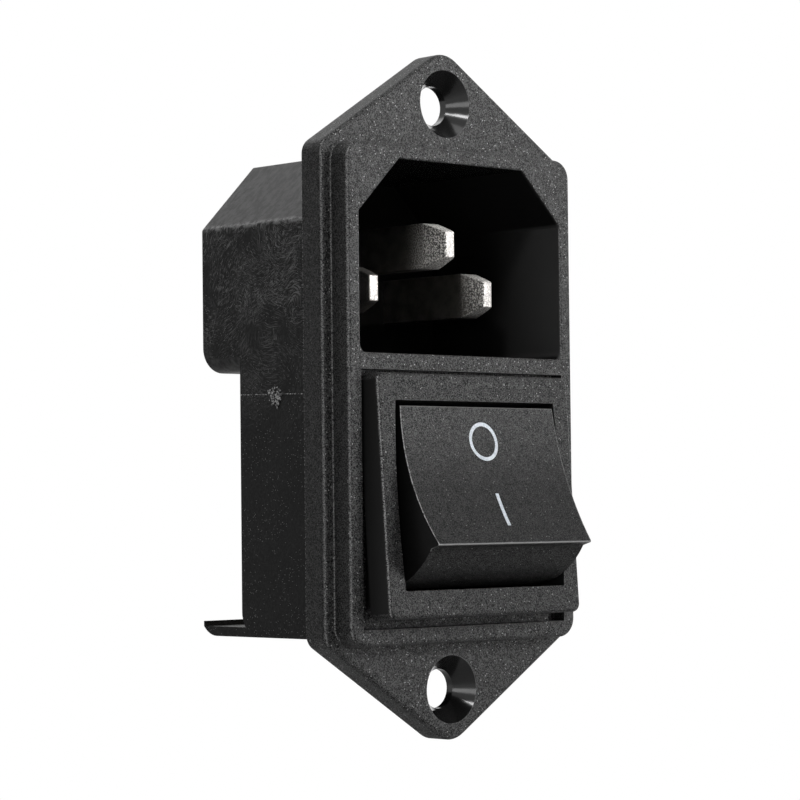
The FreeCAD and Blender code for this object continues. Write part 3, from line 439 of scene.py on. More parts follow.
def make_glass_fibre():
    """Curved hair-like strands of glass fibre, and loose specks of it, in the skin of a plain wall."""
    tree, given, made = new_group(
        "glass_fibre",
        [("Place", "Vector"), ("Length", "Float"), ("Width", "Float")],
        [("Strands", "Float"), ("Specks", "Float"), ("Skin", "Float")],
    )
    flow = tree.nodes.new("ShaderNodeTexNoise")
    tree.links.new(given["Place"], flow.inputs["Vector"])
    flow.inputs["Scale"].default_value = FLOW_SCALE
    flow.inputs["Detail"].default_value = 1.0
    bend = vector_maths(tree, "SUBTRACT", flow.outputs["Color"], (0.5, 0.5, 0.5))
    bend = vector_maths(tree, "SCALE", bend, FLOW_BEND)
    bent = vector_maths(tree, "ADD", given["Place"], bend)
    # strands run along the second axis of each layer and are thin along its third
    stretch = tree.nodes.new("ShaderNodeCombineXYZ")
    stretch.inputs[0].default_value = 1.0
    link(tree, maths(tree, "DIVIDE", 1.0, given["Length"]), stretch.inputs[1])
    link(tree, maths(tree, "DIVIDE", 1.0, given["Width"]), stretch.inputs[2])
    strands = None
    for turn, offset in FIBRE_LAYERS:
        turned = tree.nodes.new("ShaderNodeMapping")
        tree.links.new(bent, turned.inputs["Vector"])
        turned.inputs["Location"].default_value = (0.0, offset, offset)
        turned.inputs["Rotation"].default_value = (turn, 0.0, 0.0)
        drawn = vector_maths(tree, "MULTIPLY", turned.outputs["Vector"], stretch.outputs[0])
        strand = ramp(tree, noise_of(tree, drawn, 1.0, 2.0, 0.6), *FIBRE_CONTRAST)
        patch = ramp(tree, noise_of(tree, turned.outputs["Vector"], 0.25, 1.0), 0.42, 0.58)
        strand = maths(tree, "MULTIPLY", strand, patch)
        strands = strand if strands is None else maths(tree, "MAXIMUM", strands, strand)
    tree.links.new(strands, made["Strands"])
    crowded = ramp(tree, noise_of(tree, given["Place"], 0.3, 1.0), 0.40, 0.62, 0.02, 0.17)
    tree.links.new(dots_of(tree, given["Place"], 6.0, crowded, 0.20), made["Specks"])
    skin = noise_of(tree, given["Place"], 4.5, 3.0, 0.7)
    tree.links.new(maths(tree, "SUBTRACT", skin, 0.5), made["Skin"])
    return tree


def make_drawn_grain():
    """The fine lines and cloudy tone of drawn, stamped or plated metal."""
    tree, given, made = new_group(
        "drawn_grain",
        [("Place", "Vector"), ("Stretch", "Vector")],
        [("Height", "Float"), ("Tone", "Float")],
    )
    drawn = vector_maths(tree, "MULTIPLY", given["Place"], given["Stretch"])
    lines = noise_of(tree, drawn, 5.0, 4.0, 0.65)
    cloud = noise_of(tree, given["Place"], 0.8, 3.0, 0.55)
    tree.links.new(lines, made["Height"])
    tone = maths(tree, "MULTIPLY_ADD", cloud, 0.6, maths(tree, "MULTIPLY", lines, 0.4))
    tree.links.new(ramp(tree, tone, 0.36, 0.62), made["Tone"])
    return tree


BOX_MASK = make_box_mask()
EDGE_WEAR_AND_HIGHLIGHT = make_edge_wear_and_highlight()
ERODED_GRAIN = make_eroded_grain()
GLASS_FIBRE = make_glass_fibre()
DRAWN_GRAIN = make_drawn_grain()


# Finishes

def new_material(name):
    """A material, its tree and shader, and the place in millimetres and the normal on its piece."""
    material = bpy.data.materials.new(name)
    material.use_nodes = True
    tree = material.node_tree
    shader = tree.nodes["Principled BSDF"]
    coordinates = tree.nodes.new("ShaderNodeTexCoord")
    place = vector_maths(tree, "SCALE", coordinates.outputs["Object"], 1.0 / MILLIMETRE)
    return material, tree, shader, place, coordinates.outputs["Normal"]


def bump(tree, shader, height, depth, share=None):
    """Feed a height to the shader's normal; depth is in millimetres, and share flattens it in places."""
    node = tree.nodes.new("ShaderNodeBump")
    node.inputs["Distance"].default_value = depth * MILLIMETRE
    if share is not None:
        height = maths(tree, "MULTIPLY", height, share)
    tree.links.new(height, node.inputs["Height"])
    tree.links.new(node.outputs["Normal"], shader.inputs["Normal"])


def rocker_tip_wear(tree, place):
    """Worn lines along the rocker's lower and upper tip."""
    wear = None
    for tip_back, tip_up, strength in ROCKER_TIPS:
        offset = vector_maths(tree, "SUBTRACT", place, (0.0, tip_back, tip_up))
        offset = vector_maths(tree, "MULTIPLY", offset, (0.0, 1.0, 1.0))
        line = ramp(tree, length_of(tree, offset), 0.08, 0.2, strength, 0.0)
        wear = line if wear is None else maths(tree, "MAXIMUM", wear, line)
    return wear


def rocker_side_highlights(tree, place, sides):
    """Broken painted highlight lines along the bowed left and right edges of the rocker's face, fainter at
    the right.
    """
    across, back, up = split_of(tree, place)
    # how far a place is from the pivot along the rocker's own upright direction
    lean = math.radians(ROCKER_LEAN)
    pivot_back, pivot_up = ROCKER_PIVOT[1] / MILLIMETRE, ROCKER_PIVOT[2] / MILLIMETRE
    along = maths(tree, "MULTIPLY", maths(tree, "SUBTRACT", back, pivot_back), -math.sin(lean))
    along = maths(tree, "MULTIPLY_ADD", maths(tree, "SUBTRACT", up, pivot_up), math.cos(lean), along)
    draw_in = ROCKER_DRAW_IN / ROCKER_HALF_HEIGHT ** 2
    bow = maths(tree, "MULTIPLY", maths(tree, "MULTIPLY", along, along), draw_in)
    edge = maths(tree, "SUBTRACT", ROCKER_HALF_WIDTH, bow)
    inside = maths(tree, "SUBTRACT", edge, maths(tree, "ABSOLUTE", across))
    at_edge = ramp(tree, inside, 0.03, 0.15, 1.0, 0.0)
    line = maths(tree, "MULTIPLY", at_edge, maths(tree, "SUBTRACT", 1.0, sides))
    off_end = maths(tree, "SUBTRACT", maths(tree, "ABSOLUTE", along), ROCKER_HALF_HEIGHT)
    on_face = ramp(tree, off_end, 0.0, 0.08, 1.0, 0.0)
    strength = maths(tree, "MULTIPLY", on_face, ramp(tree, across, -1.0, 1.0, 1.0, 0.35))
    broken = ramp(tree, noise_of(tree, place, 5.0, 2.0, 0.7), 0.38, 0.58, 0.15, 1.0)
    return maths(tree, "MULTIPLY", maths(tree, "MULTIPLY", line, strength), broken)


def rocker_rim(tree, place, sides):
    """All pale lines round the rocker's face: worn lines at its tips and painted highlight lines along its
    sides.
    """
    return maths(tree, "MAXIMUM", rocker_tip_wear(tree, place), rocker_side_highlights(tree, place, sides))


def moulded_finish(name, grain, depth, tones, side, painted_glint, painted_glint_share, roughness, painted_shade=None, rim=None):
    """Black moulded plastic: spark-eroded in front with painted glints, plain at the sides, and worn at the
    edges with a painted highlight there.

    Grain and depth are millimetres; tones, from pits to lands, side and painted glint are greys.
    """
    material, tree, shader, place, normal = new_material(name)
    texture = use_group(tree, ERODED_GRAIN, Place=place, Grain=grain, Fleck_Share=painted_glint_share)
    wear_and_painted_light = use_group(tree, EDGE_WEAR_AND_HIGHLIGHT, Normal=normal, Place=place)
    tone = texture["Tone"]
    # painted shade: the tone is darkened towards the bottom
    if painted_shade is not None:
        low, high, share = painted_shade
        tone = maths(tree, "MULTIPLY", tone, ramp(tree, split_of(tree, place)[2], low, high, share, 1.0))
    body = mix_colour(tree, tone, *tones)
    # painted glints: pale dots that stand in for light catching the texture's rims
    body = mix_colour(tree, texture["Painted Glints"], body, painted_glint)
    body = mix_colour(tree, wear_and_painted_light["Sides"], body, side)
    rubbed_and_painted_light = wear_and_painted_light["Edges"]
    if rim is not None:
        rubbed_and_painted_light = maths(tree, "MAXIMUM", rubbed_and_painted_light, rim(tree, place, wear_and_painted_light["Sides"]))
    # worn edges and lines, painted pale as a highlight where light would catch them
    link(tree, mix_colour(tree, rubbed_and_painted_light, body, WORN_AND_HIGHLIGHT_GREY), shader.inputs["Base Color"])
    rough = mix_value(tree, texture["Tone"], roughness + PIT_ROUGHNESS, roughness - PIT_ROUGHNESS)
    link(tree, mix_value(tree, rubbed_and_painted_light, rough, RUBBED_ROUGHNESS), shader.inputs["Roughness"])
    shader.inputs["Specular IOR Level"].default_value = PLASTIC_GLOSS
    bump(tree, shader, texture["Height"], depth, mix_value(tree, wear_and_painted_light["Sides"], 1.0, SIDE_RELIEF))
    return material


def housing_hollows(tree, place):
    """Two masks: the countersinks with the holes behind them, and the inlet's cavity."""
    screw = (0.0, 0.0, SCREW_HEIGHT)
    from_screw = vector_maths(tree, "SUBTRACT", vector_maths(tree, "ABSOLUTE", place), screw)
    radius = length_of(tree, vector_maths(tree, "MULTIPLY", from_screw, (1.0, 0.0, 1.0)))
    sunk = ramp(tree, radius, COUNTERSINK_RADIUS, COUNTERSINK_RADIUS + 0.02, 1.0, 0.0)
    walls = use_group(
        tree, BOX_MASK, Place=place, Centre=CAVITY_MIDDLE, Half_Size=CAVITY_HALF_SIZE, Border=0.03
    )["Mask"]
    across, _, up = split_of(tree, place)
    slope = maths(tree, "ADD", maths(tree, "ABSOLUTE", across), up)
    below_slope = ramp(tree, slope, CAVITY_SLOPE_SUM, CAVITY_SLOPE_SUM + 0.1, 1.0, 0.0)
    return sunk, maths(tree, "MULTIPLY", walls, below_slope)


def housing_front(tree, texture, wear_and_painted_light):
    """Colour of the housing's flange and panel."""
    colour = mix_colour(tree, texture["Tone"], *TEXTURE_GREYS)
    # painted glints: pale dots that stand in for light catching the texture's rims
    colour = mix_colour(tree, texture["Painted Glints"], colour, PAINTED_GLINT_GREY)
    colour = mix_colour(tree, maths(tree, "MULTIPLY", wear_and_painted_light["Sides"], SIDE_SHARE), colour, SIDE_GREY)
    # worn upright edges, painted pale as a highlight
    return mix_colour(tree, wear_and_painted_light["Edges"], colour, EDGE_WEAR_AND_HIGHLIGHT_GREY)


def housing_wall(tree, place, normal, wall, behind):
    """Colour of the housing's plain walls behind the flange."""
    across, _, up = split_of(tree, place)
    aside = maths(tree, "ABSOLUTE", across)
    # strands show more towards the top of the side walls, partly as painted light that makes the top paler
    colour = mix_colour(tree, ramp(tree, wall["Skin"], -0.05, 0.15), *SKIN_GREYS)
    strands_and_painted_top_light = ramp(tree, up, -6.0, 13.0, 0.05, 0.9)
    colour = mix_colour(tree, maths(tree, "MULTIPLY", wall["Strands"], strands_and_painted_top_light), colour, STRAND_GREY)
    colour = mix_colour(tree, wall["Specks"], colour, SPECK_GREY)
    # the shroud's two sloping sides are smeared
    facing = vector_maths(tree, "ABSOLUTE", normal)
    half_right = math.sqrt(0.5)
    sloped = vector_maths(tree, "DOT_PRODUCT", facing, (half_right, 0.0, half_right), output="Value")
    smear = noise_of(tree, vector_maths(tree, "MULTIPLY", place, (0.6, 1.0, 0.6)), 1.6, 5.0, 0.65)
    smeared = mix_colour(tree, ramp(tree, smear, 0.36, 0.64), *SMEAR_GREYS)
    colour = mix_colour(tree, ramp(tree, sloped, *FACING), colour, smeared)
    # a broken painted highlight along the edges below them
    from_edge = maths(tree, "ABSOLUTE", maths(tree, "SUBTRACT", up, SLOPE_EDGE_HEIGHT))
    slope_edge_highlight = ramp(tree, from_edge, 0.08, 0.42, 1.0, 0.0)
    slope_edge_highlight = maths(tree, "MULTIPLY", slope_edge_highlight, ramp(tree, aside, SIDE_WALL - 0.7, SIDE_WALL - 0.4))
    painted_highlight_breaks = ramp(tree, noise_of(tree, place, 1.5, 3.0, 0.75), 0.40, 0.62)
    colour = mix_colour(tree, maths(tree, "MULTIPLY", painted_highlight_breaks, slope_edge_highlight), colour, SLOPE_EDGE_HIGHLIGHT_GREY)
    # what stands proud of the side wall, the gate mark and the parting line, is rougher and paler
    proud = maths(tree, "MULTIPLY", ramp(tree, aside, SIDE_WALL + 0.002, SIDE_WALL + 0.012), behind)
    broken = ramp(tree, noise_of(tree, place, 5.0, 2.0, 0.7), 0.48, 0.60)
    return mix_colour(tree, proud, colour, mix_colour(tree, broken, *MOULD_MARK_GREYS))


def housing_finish():
    """The inlet housing: textured in front, fibrous plain walls behind the flange, glossy hollows."""
    material, tree, shader, place, normal = new_material("housing_black")
    texture = use_group(tree, ERODED_GRAIN, Place=place, Grain=0.12, Fleck_Share=0.06)
    wall = use_group(tree, GLASS_FIBRE, Place=place, Length=0.7, Width=0.06)
    wear_and_painted_light = use_group(tree, EDGE_WEAR_AND_HIGHLIGHT, Normal=normal, Place=place)
    across, back, _ = split_of(tree, place)
    behind = ramp(tree, back, -0.06, -0.01)
    sunk, cavity = housing_hollows(tree, place)
    sunk = maths(tree, "MULTIPLY", sunk, maths(tree, "SUBTRACT", 1.0, behind))
    smooth = maths(tree, "MAXIMUM", sunk, cavity)
    front = housing_front(tree, texture, wear_and_painted_light)
    body = mix_colour(tree, behind, front, housing_wall(tree, place, normal, wall, behind))
    # painted light: the cavity's right wall gets paler towards its mouth, with painted shade further in
    painted_mouth_light = maths(tree, "MULTIPLY", ramp(tree, across, 11.9, 12.2), ramp(tree, back, -4.5, 7.0, 1.0, 0.0))
    body = mix_colour(tree, smooth, body, mix_colour(tree, painted_mouth_light, *HOLLOW_AND_PAINTED_MOUTH_GREYS))
    link(tree, body, shader.inputs["Base Color"])
    rough = mix_value(tree, behind, 0.5, maths(tree, "MULTIPLY_ADD", wall["Skin"], -0.2, 0.45))
    rough = mix_value(tree, wear_and_painted_light["Edges"], rough, RUBBED_ROUGHNESS)
    link(tree, mix_value(tree, smooth, rough, HOLLOW_ROUGHNESS), shader.inputs["Roughness"])
    # the countersinks are polished
    link(tree, maths(tree, "MULTIPLY", sunk, SUNK_COAT), shader.inputs["Coat Weight"])
    shader.inputs["Coat Roughness"].default_value = SUNK_COAT_ROUGHNESS
    shader.inputs["Specular IOR Level"].default_value = PLASTIC_GLOSS
    plain = maths(tree, "MAXIMUM", smooth, behind)
    relief = mix_value(tree, plain, texture["Height"], wall["Skin"])
    bump(tree, shader, relief, 0.02, mix_value(tree, smooth, 1.0, HOLLOW_RELIEF))
    return material


def pin_finish():
    """Nickel plate, rubbed bright and grainy at the pins' tips and dull behind them, with painted shade on
    the live pin.
    """
    material, tree, shader, place, normal = new_material("pin_nickel")
    texture = use_group(tree, DRAWN_GRAIN, Place=place, Stretch=(1.0, 1.0, 1.0))
    across, back, _ = split_of(tree, place)
    aside = maths(tree, "ABSOLUTE", across)
    # the earth pin stands further forward than the two line pins, and is rubbed further back
    tip = ramp(tree, aside, *EARTH_TO_LINE, EARTH_TIP, LINE_TIP)
    reach = ramp(tree, aside, *EARTH_TO_LINE, EARTH_RUBBED, LINE_RUBBED)
    from_tip = maths(tree, "SUBTRACT", back, tip)
    # painted shade: the live pin, whose flank lies in the cavity wall's shadow, keeps little of the rubbed
    # pale nickel
    painted_shade_factor = ramp(tree, across, *LIVE_TO_EARTH, LIVE_PIN_PAINTED_SHADE_SHARE, 1.0)
    rubbed_and_painted_light = maths(tree, "MULTIPLY", ramp(tree, from_tip, 1.0, reach, 1.0, 0.0), painted_shade_factor)
    sparkle = ramp(tree, noise_of(tree, place, 7.0, 2.0, 0.7), 0.48, 0.58)
    plate = mix_colour(tree, texture["Tone"], *PLATE_COLOURS)
    wear_and_painted_light = mix_colour(tree, rubbed_and_painted_light, plate, mix_colour(tree, sparkle, *RUBBED_COLOURS))
    # the socket polishes their bevels above and, less, below, and their end faces
    _, facing_front, facing_up = split_of(tree, normal)
    upright = ramp(tree, maths(tree, "ABSOLUTE", facing_up), 0.10, 0.30)
    bevels = maths(tree, "MULTIPLY", ramp(tree, from_tip, 2.4, 4.0, 1.0, 0.0), upright)
    upper = maths(tree, "MULTIPLY", painted_shade_factor, ramp(tree, facing_up, -0.1, 0.1, 0.4, 1.0))
    bevels = maths(tree, "MULTIPLY", bevels, upper)
    wear_and_painted_light = mix_colour(tree, bevels, wear_and_painted_light, mix_colour(tree, sparkle, *BEVEL_COLOURS))
    ends = ramp(tree, facing_front, -0.97, -0.93, 1.0, 0.0)
    wear_and_painted_light = mix_colour(tree, ends, wear_and_painted_light, mix_colour(tree, sparkle, *END_COLOURS))
    link(tree, wear_and_painted_light, shader.inputs["Base Color"])
    rough = mix_value(tree, rubbed_and_painted_light, 0.42, mix_value(tree, sparkle, 0.85, 0.50))
    link(tree, mix_value(tree, ends, rough, 0.55), shader.inputs["Roughness"])
    shader.inputs["Metallic"].default_value = 1.0
    relief = mix_value(tree, rubbed_and_painted_light, texture["Height"], sparkle)
    bump(tree, shader, relief, 0.03, mix_value(tree, ends, 1.0, 0.25))
    return material


def metal_finish(name, darker, lighter, roughness, stretch, depth):
    """Plated, drawn or stamped metal."""
    material, tree, shader, place, _ = new_material(name)
    texture = use_group(tree, DRAWN_GRAIN, Place=place, Stretch=stretch)
    link(tree, mix_colour(tree, texture["Tone"], darker, lighter), shader.inputs["Base Color"])
    link(tree, mix_value(tree, texture["Tone"], roughness + 0.08, roughness), shader.inputs["Roughness"])
    shader.inputs["Metallic"].default_value = 1.0
    bump(tree, shader, texture["Height"], depth)
    return material


def nylon_finish():
    """Natural nylon, slightly cloudy."""
    material, tree, shader, place, _ = new_material("plunger_nylon")
    cloud = noise_of(tree, place, 0.9, 3.0)
    link(tree, mix_colour(tree, cloud, *NYLON_COLOURS), shader.inputs["Base Color"])
    link(tree, mix_value(tree, cloud, 0.42, 0.32), shader.inputs["Roughness"])
    shader.inputs["Subsurface Weight"].default_value = 0.15
    shader.inputs["Subsurface Scale"].default_value = NYLON_DEPTH
    bump(tree, shader, noise_of(tree, place, 9.0, 2.0), 0.004)
    return material


def ink_finish():
    """Pale pad-printed ink, thin enough for the texture below to show."""
    material, tree, shader, place, _ = new_material("marking_ink")
    texture = use_group(tree, ERODED_GRAIN, Place=place, Grain=0.12, Fleck_Share=0.08)
    link(tree, mix_colour(tree, texture["Tone"], *INK_COLOURS), shader.inputs["Base Color"])
    link(tree, mix_value(tree, texture["Tone"], 0.6, 0.45), shader.inputs["Roughness"])
    bump(tree, shader, texture["Height"], 0.006)
    return material


FINISHES = {name: metal_finish(name, *look) for name, look in METALS.items()}
FINISHES["housing_black"] = housing_finish()
# the switch housing's sides get a paler grey than the rocker's, as painted light on them
FINISHES["switch_black"] = moulded_finish(
    "switch_black", grain=0.12, depth=0.016, tones=(0.002, 0.078), side=0.016, painted_glint=0.32, painted_glint_share=0.04,
    roughness=0.5,
)
FINISHES["rocker_black"] = moulded_finish(
    "rocker_black", grain=0.115, depth=0.012, tones=(0.001, 0.076), side=0.003, painted_glint=0.20, painted_glint_share=0.03,
    roughness=0.40, painted_shade=ROCKER_PAINTED_SHADE, rim=rocker_rim,
)
FINISHES["pin_nickel"] = pin_finish()
FINISHES["plunger_nylon"] = nylon_finish()
FINISHES["marking_ink"] = ink_finish()

NODE_FINISHES = {
    "inlet_housing": "housing_black",
    "switch_housing": "switch_black",
    "rocker": "rocker_black",
    "earth_pin": "pin_nickel",
    "live_pin": "pin_nickel",
    "neutral_pin": "pin_nickel",
    "plunger": "plunger_nylon",
    "plunger_spring": "spring_steel",
    "contact_lever": "lever_copper",
    "lever_rivet": "contact_silver",
    "centre_terminal": "terminal_brass",
    "end_terminal": "terminal_brass",
    "fixed_rivet": "contact_silver",
}

# Dress the solids that come from the part
for name, node in frame["nodes"].items():
    finish = NODE_FINISHES[name.removesuffix("_left").removesuffix("_right")]
    node.data.materials.clear()
    node.data.materials.append(FINISHES[finish])


# Pieces that only the looks need

def between(ends, share):
    """The number at a share of the way from one end to the other."""
    return ends[0] + share * (ends[1] - ends[0])


def finished_mesh(name, shape):
    """The mesh of a shape that is done."""
    mesh = bpy.data.meshes.new(name)
    shape.to_mesh(mesh)
    shape.free()
    return mesh


def add_piece(name, shape, finish, body, smooth=False):
    """A new piece of the object, with its finish, riding on its body."""
    mesh = finished_mesh(name, shape)
    mesh.materials.append(FINISHES[finish])
    for face in mesh.polygons:
        face.use_smooth = smooth
    piece = bpy.data.objects.new(name, mesh)
    bpy.context.scene.collection.objects.link(piece)
    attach(piece, body)
    return piece


def grid_faces(shape, rows, closed=False):
    """Join rows of vertices with four-sided faces."""
    count = len(rows[0])
    for lower, upper in zip(rows, rows[1:]):
        for i in range(count if closed else count - 1):
            j = (i + 1) % count
            shape.faces.new((lower[i], lower[j], upper[j], upper[i]))


def coined_half_size(half, tip, share):
    """Half a pin's thickness or width at a share of its taper: a nearly straight bevel."""
    return tip + (half - tip) * share ** PIN_BEVEL_POWER


def solid_half_size(half, tip, share):
    """The same on the solid, where the taper is an arc that leaves the blade without a kink."""
    drop = half - tip
    radius = (PIN_TAPER ** 2 + drop ** 2) / (2 * drop)
    return half - radius + math.sqrt(radius ** 2 - (PIN_TAPER * (1.0 - share)) ** 2)


def coined_pin(name):
    """A pin whose tip is coined to straighter bevels than the solid's, with its edges eased."""
    low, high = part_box(name)
    middle = (low + high) / 2
    shape = bmesh.new()
    shape.from_mesh(frame["nodes"][name].data)
    bmesh.ops.remove_doubles(shape, verts=shape.verts[:], dist=SAME_PLACE)
    flat = math.radians(FLAT_ANGLE)
    bmesh.ops.dissolve_limit(shape, angle_limit=flat, verts=shape.verts[:], edges=shape.edges[:])
    for vertex in shape.verts:
        share = max((vertex.co.y - low.y) / PIN_TAPER, 0.0)
        if share < 1.0:
            for axis, half, solid, coined in zip((0, 2), PIN_HALF_SIZE, PIN_TIP_SOLID, PIN_TIP_COINED):
                ratio = coined_half_size(half, coined, share) / solid_half_size(half, solid, share)
                vertex.co[axis] = middle[axis] + (vertex.co[axis] - middle[axis]) * ratio
    sharp = math.radians(SHARP_EDGE)
    taper_end = low.y + 1.02 * PIN_TAPER
    eased = [
        edge for edge in shape.edges
        if edge.calc_face_angle(0.0) > sharp and all(vertex.co.y < taper_end for vertex in edge.verts)
    ]
    bmesh.ops.bevel(
        shape, geom=eased, offset=PIN_EDGE_ROUND, segments=PIN_EDGE_SEGMENTS, profile=0.5, affect="EDGES"
    )
    for edge in shape.edges:
        edge.smooth = edge.calc_face_angle(0.0) < sharp
    piece = add_piece("coined_" + name, shape, "pin_nickel", "housing", smooth=True)
    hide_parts(name)


def print_on_rocker(name, rows, closed=False):
    """Lay rows of places, drawn in the rocker's own X and Z, on its face as a film of ink."""
    rocker_frame = Matrix.Translation(ROCKER_PIVOT) @ Matrix.Rotation(math.radians(ROCKER_LEAN), 4, "X")
    face = BVHTree.FromObject(frame["nodes"]["rocker"], bpy.context.evaluated_depsgraph_get())
    inward = (rocker_frame.to_3x3() @ Vector((0.0, 1.0, 0.0))).normalized()
    film = bmesh.new()
    under = []
    top = []
    for row in rows:
        hits = [face.ray_cast(rocker_frame @ Vector((x, MARK_START, z)), inward)[0] for x, z in row]
        under.append([film.verts.new(hit) for hit in hits])
        top.append([film.verts.new(hit - inward * MARK_THICKNESS) for hit in hits])
    grid_faces(film, under, closed)
    grid_faces(film, top, closed)
    # the film's thin edge, along its first and last row and, where it isn't a ring, across its two ends
    for end in (0, -1):
        grid_faces(film, [under[end], top[end]], closed)
        if not closed:
            grid_faces(film, [[row[end] for row in under], [row[end] for row in top]])
    bmesh.ops.recalc_face_normals(film, faces=film.faces[:])
    add_piece(name, film, "marking_ink", "rocker")


def off_mark():
    """The O at the rocker's upper end."""
    rows = []
    # the ring's inner edge, its middle and its outer edge
    for share in (0.0, 0.5, 1.0):
        radius = between(RING_RADII, share)
        row = []
        for i in range(RING_SEGMENTS):
            angle = 2 * math.pi * i / RING_SEGMENTS
            x = RING_CENTRE[0] + radius * math.cos(angle)
            z = RING_CENTRE[1] + radius * math.sin(angle)
            row.append((x, z))
        rows.append(row)
    print_on_rocker("off_mark", rows, closed=True)


def on_mark():
    """The I at the rocker's lower end."""
    heights = [between(BAR_ENDS, i / BAR_SEGMENTS) for i in range(BAR_SEGMENTS + 1)]
    rows = []
    for x in (BAR_CENTRE_X - BAR_HALF_WIDTH, BAR_CENTRE_X, BAR_CENTRE_X + BAR_HALF_WIDTH):
        rows.append([(x, z) for z in heights])
    print_on_rocker("on_mark", rows)


def gate_mark():
    """The rough stub where the moulding was broken from its runner."""
    shape = bmesh.new()
    rows = []
    for ring in range(GATE_RINGS + 1):
        share = ring / GATE_RINGS
        row = []
        for i in range(GATE_SEGMENTS):
            angle = 2 * math.pi * i / GATE_SEGMENTS
            away = Vector((math.cos(angle), math.sin(angle)))
            lobe = GATE_LOBES * away
            uneven = noise.noise(Vector((lobe.x, lobe.y, GATE_LOBE_CHANGE * share)))
            reach = (1.0 - share) * (1.0 + GATE_WANDER * uneven) * away
            lump = noise.noise(Vector((GATE_LUMPS * reach.x, GATE_LUMPS * reach.y, GATE_LUMP_PATTERN)))
            rise = 0.0 if ring == 0 else GATE_HEIGHT * (GATE_EVEN_SHARE + GATE_LUMP_SHARE * lump)
            y = GATE_PLACE[0] + GATE_RADIUS * reach.x
            z = GATE_PLACE[1] + GATE_RADIUS * reach.y
            row.append(shape.verts.new((-SIDE_WALL * MILLIMETRE - rise, y, z)))
        rows.append(row)
    grid_faces(shape, rows, closed=True)
    bmesh.ops.remove_doubles(shape, verts=shape.verts[:], dist=GATE_SAME_PLACE)
    bmesh.ops.holes_fill(shape, edges=shape.edges[:], sides=GATE_SEGMENTS)
    bmesh.ops.recalc_face_normals(shape, faces=shape.faces[:])
    add_piece("gate_mark", shape, "housing_black", "housing")


def parting_line():
    """The fine ridge that the mould's slide left across the side wall."""
    shape = bmesh.new()
    rows = [[], [], []]
    for i in range(PARTING_SEGMENTS + 1):
        share = i / PARTING_SEGMENTS
        y = between(PARTING_RUN, share)
        wander = PARTING_WANDER * noise.noise(Vector((PARTING_WAVES * y, 0.0, 0.0)))
        for row, (across, rise) in zip(rows, ((-1.0, 0.0), (0.0, 1.0), (1.0, 0.0))):
            z = between(PARTING_HEIGHTS, share) + wander + across * PARTING_HALF_WIDTH
            row.append(shape.verts.new((-SIDE_WALL * MILLIMETRE - rise * PARTING_RELIEF, y, z)))
    grid_faces(shape, rows)
    bmesh.ops.holes_fill(shape, edges=shape.edges[:])
    bmesh.ops.recalc_face_normals(shape, faces=shape.faces[:])
    add_piece("parting_line", shape, "housing_black", "housing")


for name in PIN_NAMES:
    coined_pin(name)
off_mark()
on_mark()
gate_mark()
parting_line()


# Floor, background, light and camera

def seen_rays(tree):
    """1 for the rays by which a background is seen: directly, in a reflection or through glass."""
    rays = tree.nodes.new("ShaderNodeLightPath")
    seen = maths(tree, "MAXIMUM", rays.outputs["Is Camera Ray"], rays.outputs["Is Glossy Ray"])
    return maths(tree, "MAXIMUM", seen, rays.outputs["Is Transmission Ray"])


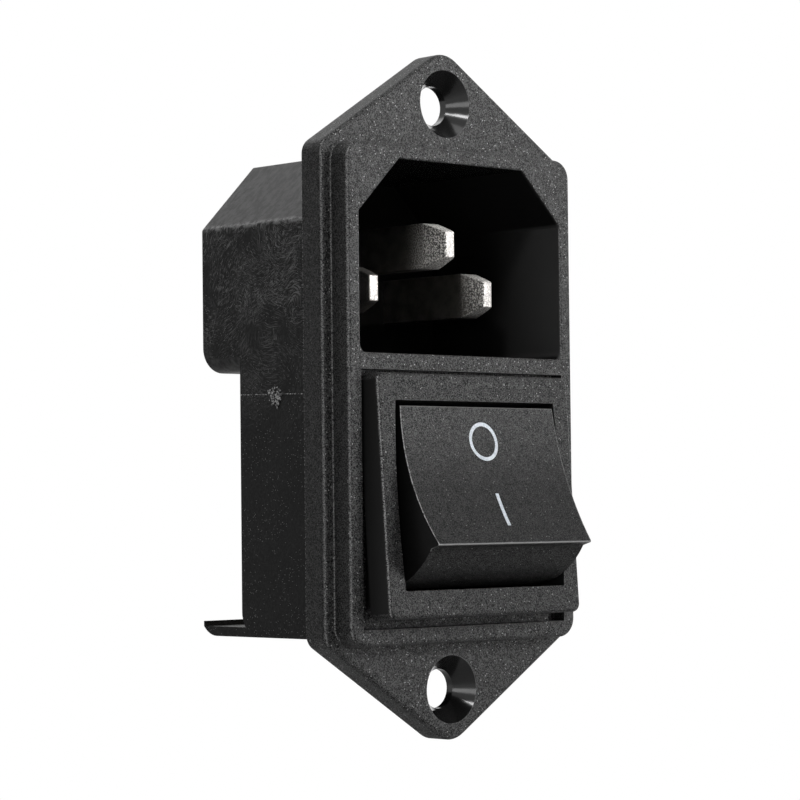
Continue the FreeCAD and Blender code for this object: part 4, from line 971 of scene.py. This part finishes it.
def make_floor():
    """A pale floor under the object that fades into the background."""
    shape = bmesh.new()
    bmesh.ops.create_grid(shape, x_segments=1, y_segments=1, size=FLOOR_HALF_SIZE)
    floor = bpy.data.objects.new("floor", finished_mesh("floor", shape))
    bpy.context.scene.collection.objects.link(floor)
    floor.location.z = CAD_BOX[0].z - FLOOR_DROP
    material = bpy.data.materials.new("floor_white")
    material.use_nodes = True
    tree = material.node_tree
    shader = tree.nodes["Principled BSDF"]
    shader.inputs["Base Color"].default_value = colour_of(FLOOR_GREY)
    shader.inputs["Roughness"].default_value = FLOOR_ROUGHNESS
    shader.inputs["Specular IOR Level"].default_value = FLOOR_GLOSS
    glow = tree.nodes.new("ShaderNodeEmission")
    glow.inputs["Strength"].default_value = BACKGROUND_WHITE
    coordinates = tree.nodes.new("ShaderNodeTexCoord")
    far = ramp(tree, length_of(tree, coordinates.outputs["Object"]), *FLOOR_FADE)
    blend = tree.nodes.new("ShaderNodeMixShader")
    tree.links.new(maths(tree, "MULTIPLY", far, seen_rays(tree)), blend.inputs[0])
    tree.links.new(shader.outputs[0], blend.inputs[1])
    tree.links.new(glow.outputs[0], blend.inputs[2])
    tree.links.new(blend.outputs[0], tree.nodes["Material Output"].inputs["Surface"])
    floor.data.materials.append(material)


def make_world():
    """White where it is seen, directly or in a reflection, and a plain soft light elsewhere."""
    world = bpy.data.worlds.new("studio")
    bpy.context.scene.world = world
    world.use_nodes = True
    tree = world.node_tree
    background = tree.nodes["Background"]
    background.inputs["Color"].default_value = (1.0, 1.0, 1.0, 1.0)
    strength = mix_value(tree, seen_rays(tree), ROOM_LIGHT, BACKGROUND_WHITE)
    link(tree, strength, background.inputs["Strength"])


def make_softbox(name, place, aim, size, spread, power):
    """A rectangular soft light that points at the object."""
    lamp = bpy.data.lights.new(name, "AREA")
    lamp.shape = "RECTANGLE"
    lamp.size, lamp.size_y = size
    lamp.spread = math.radians(spread)
    lamp.energy = power
    softbox = bpy.data.objects.new(name, lamp)
    bpy.context.scene.collection.objects.link(softbox)
    softbox.location = place
    softbox.rotation_euler = (Vector(aim) - Vector(place)).to_track_quat("-Z", "Y").to_euler()


def make_camera():
    """The camera where the photograph was taken from."""
    lens = bpy.data.cameras.new("camera")
    lens.lens = CAMERA_LENS
    lens.sensor_width = SENSOR_WIDTH
    lens.clip_start = CAMERA_NEAR
    camera = bpy.data.objects.new("camera", lens)
    bpy.context.scene.collection.objects.link(camera)
    turn = Matrix.Rotation(math.radians(CAMERA_TURN), 4, "Z")
    tilt = Matrix.Rotation(math.radians(90.0 + CAMERA_TILT), 4, "X")
    roll = Matrix.Rotation(math.radians(CAMERA_ROLL), 4, "Z")
    camera.matrix_world = Matrix.Translation(CAMERA_PLACE) @ turn @ tilt @ roll
    bpy.context.scene.camera = camera


make_floor()
make_world()
for softbox in SOFTBOXES:
    make_softbox(*softbox)
make_camera()
bpy.context.scene.view_settings.view_transform = "Standard"
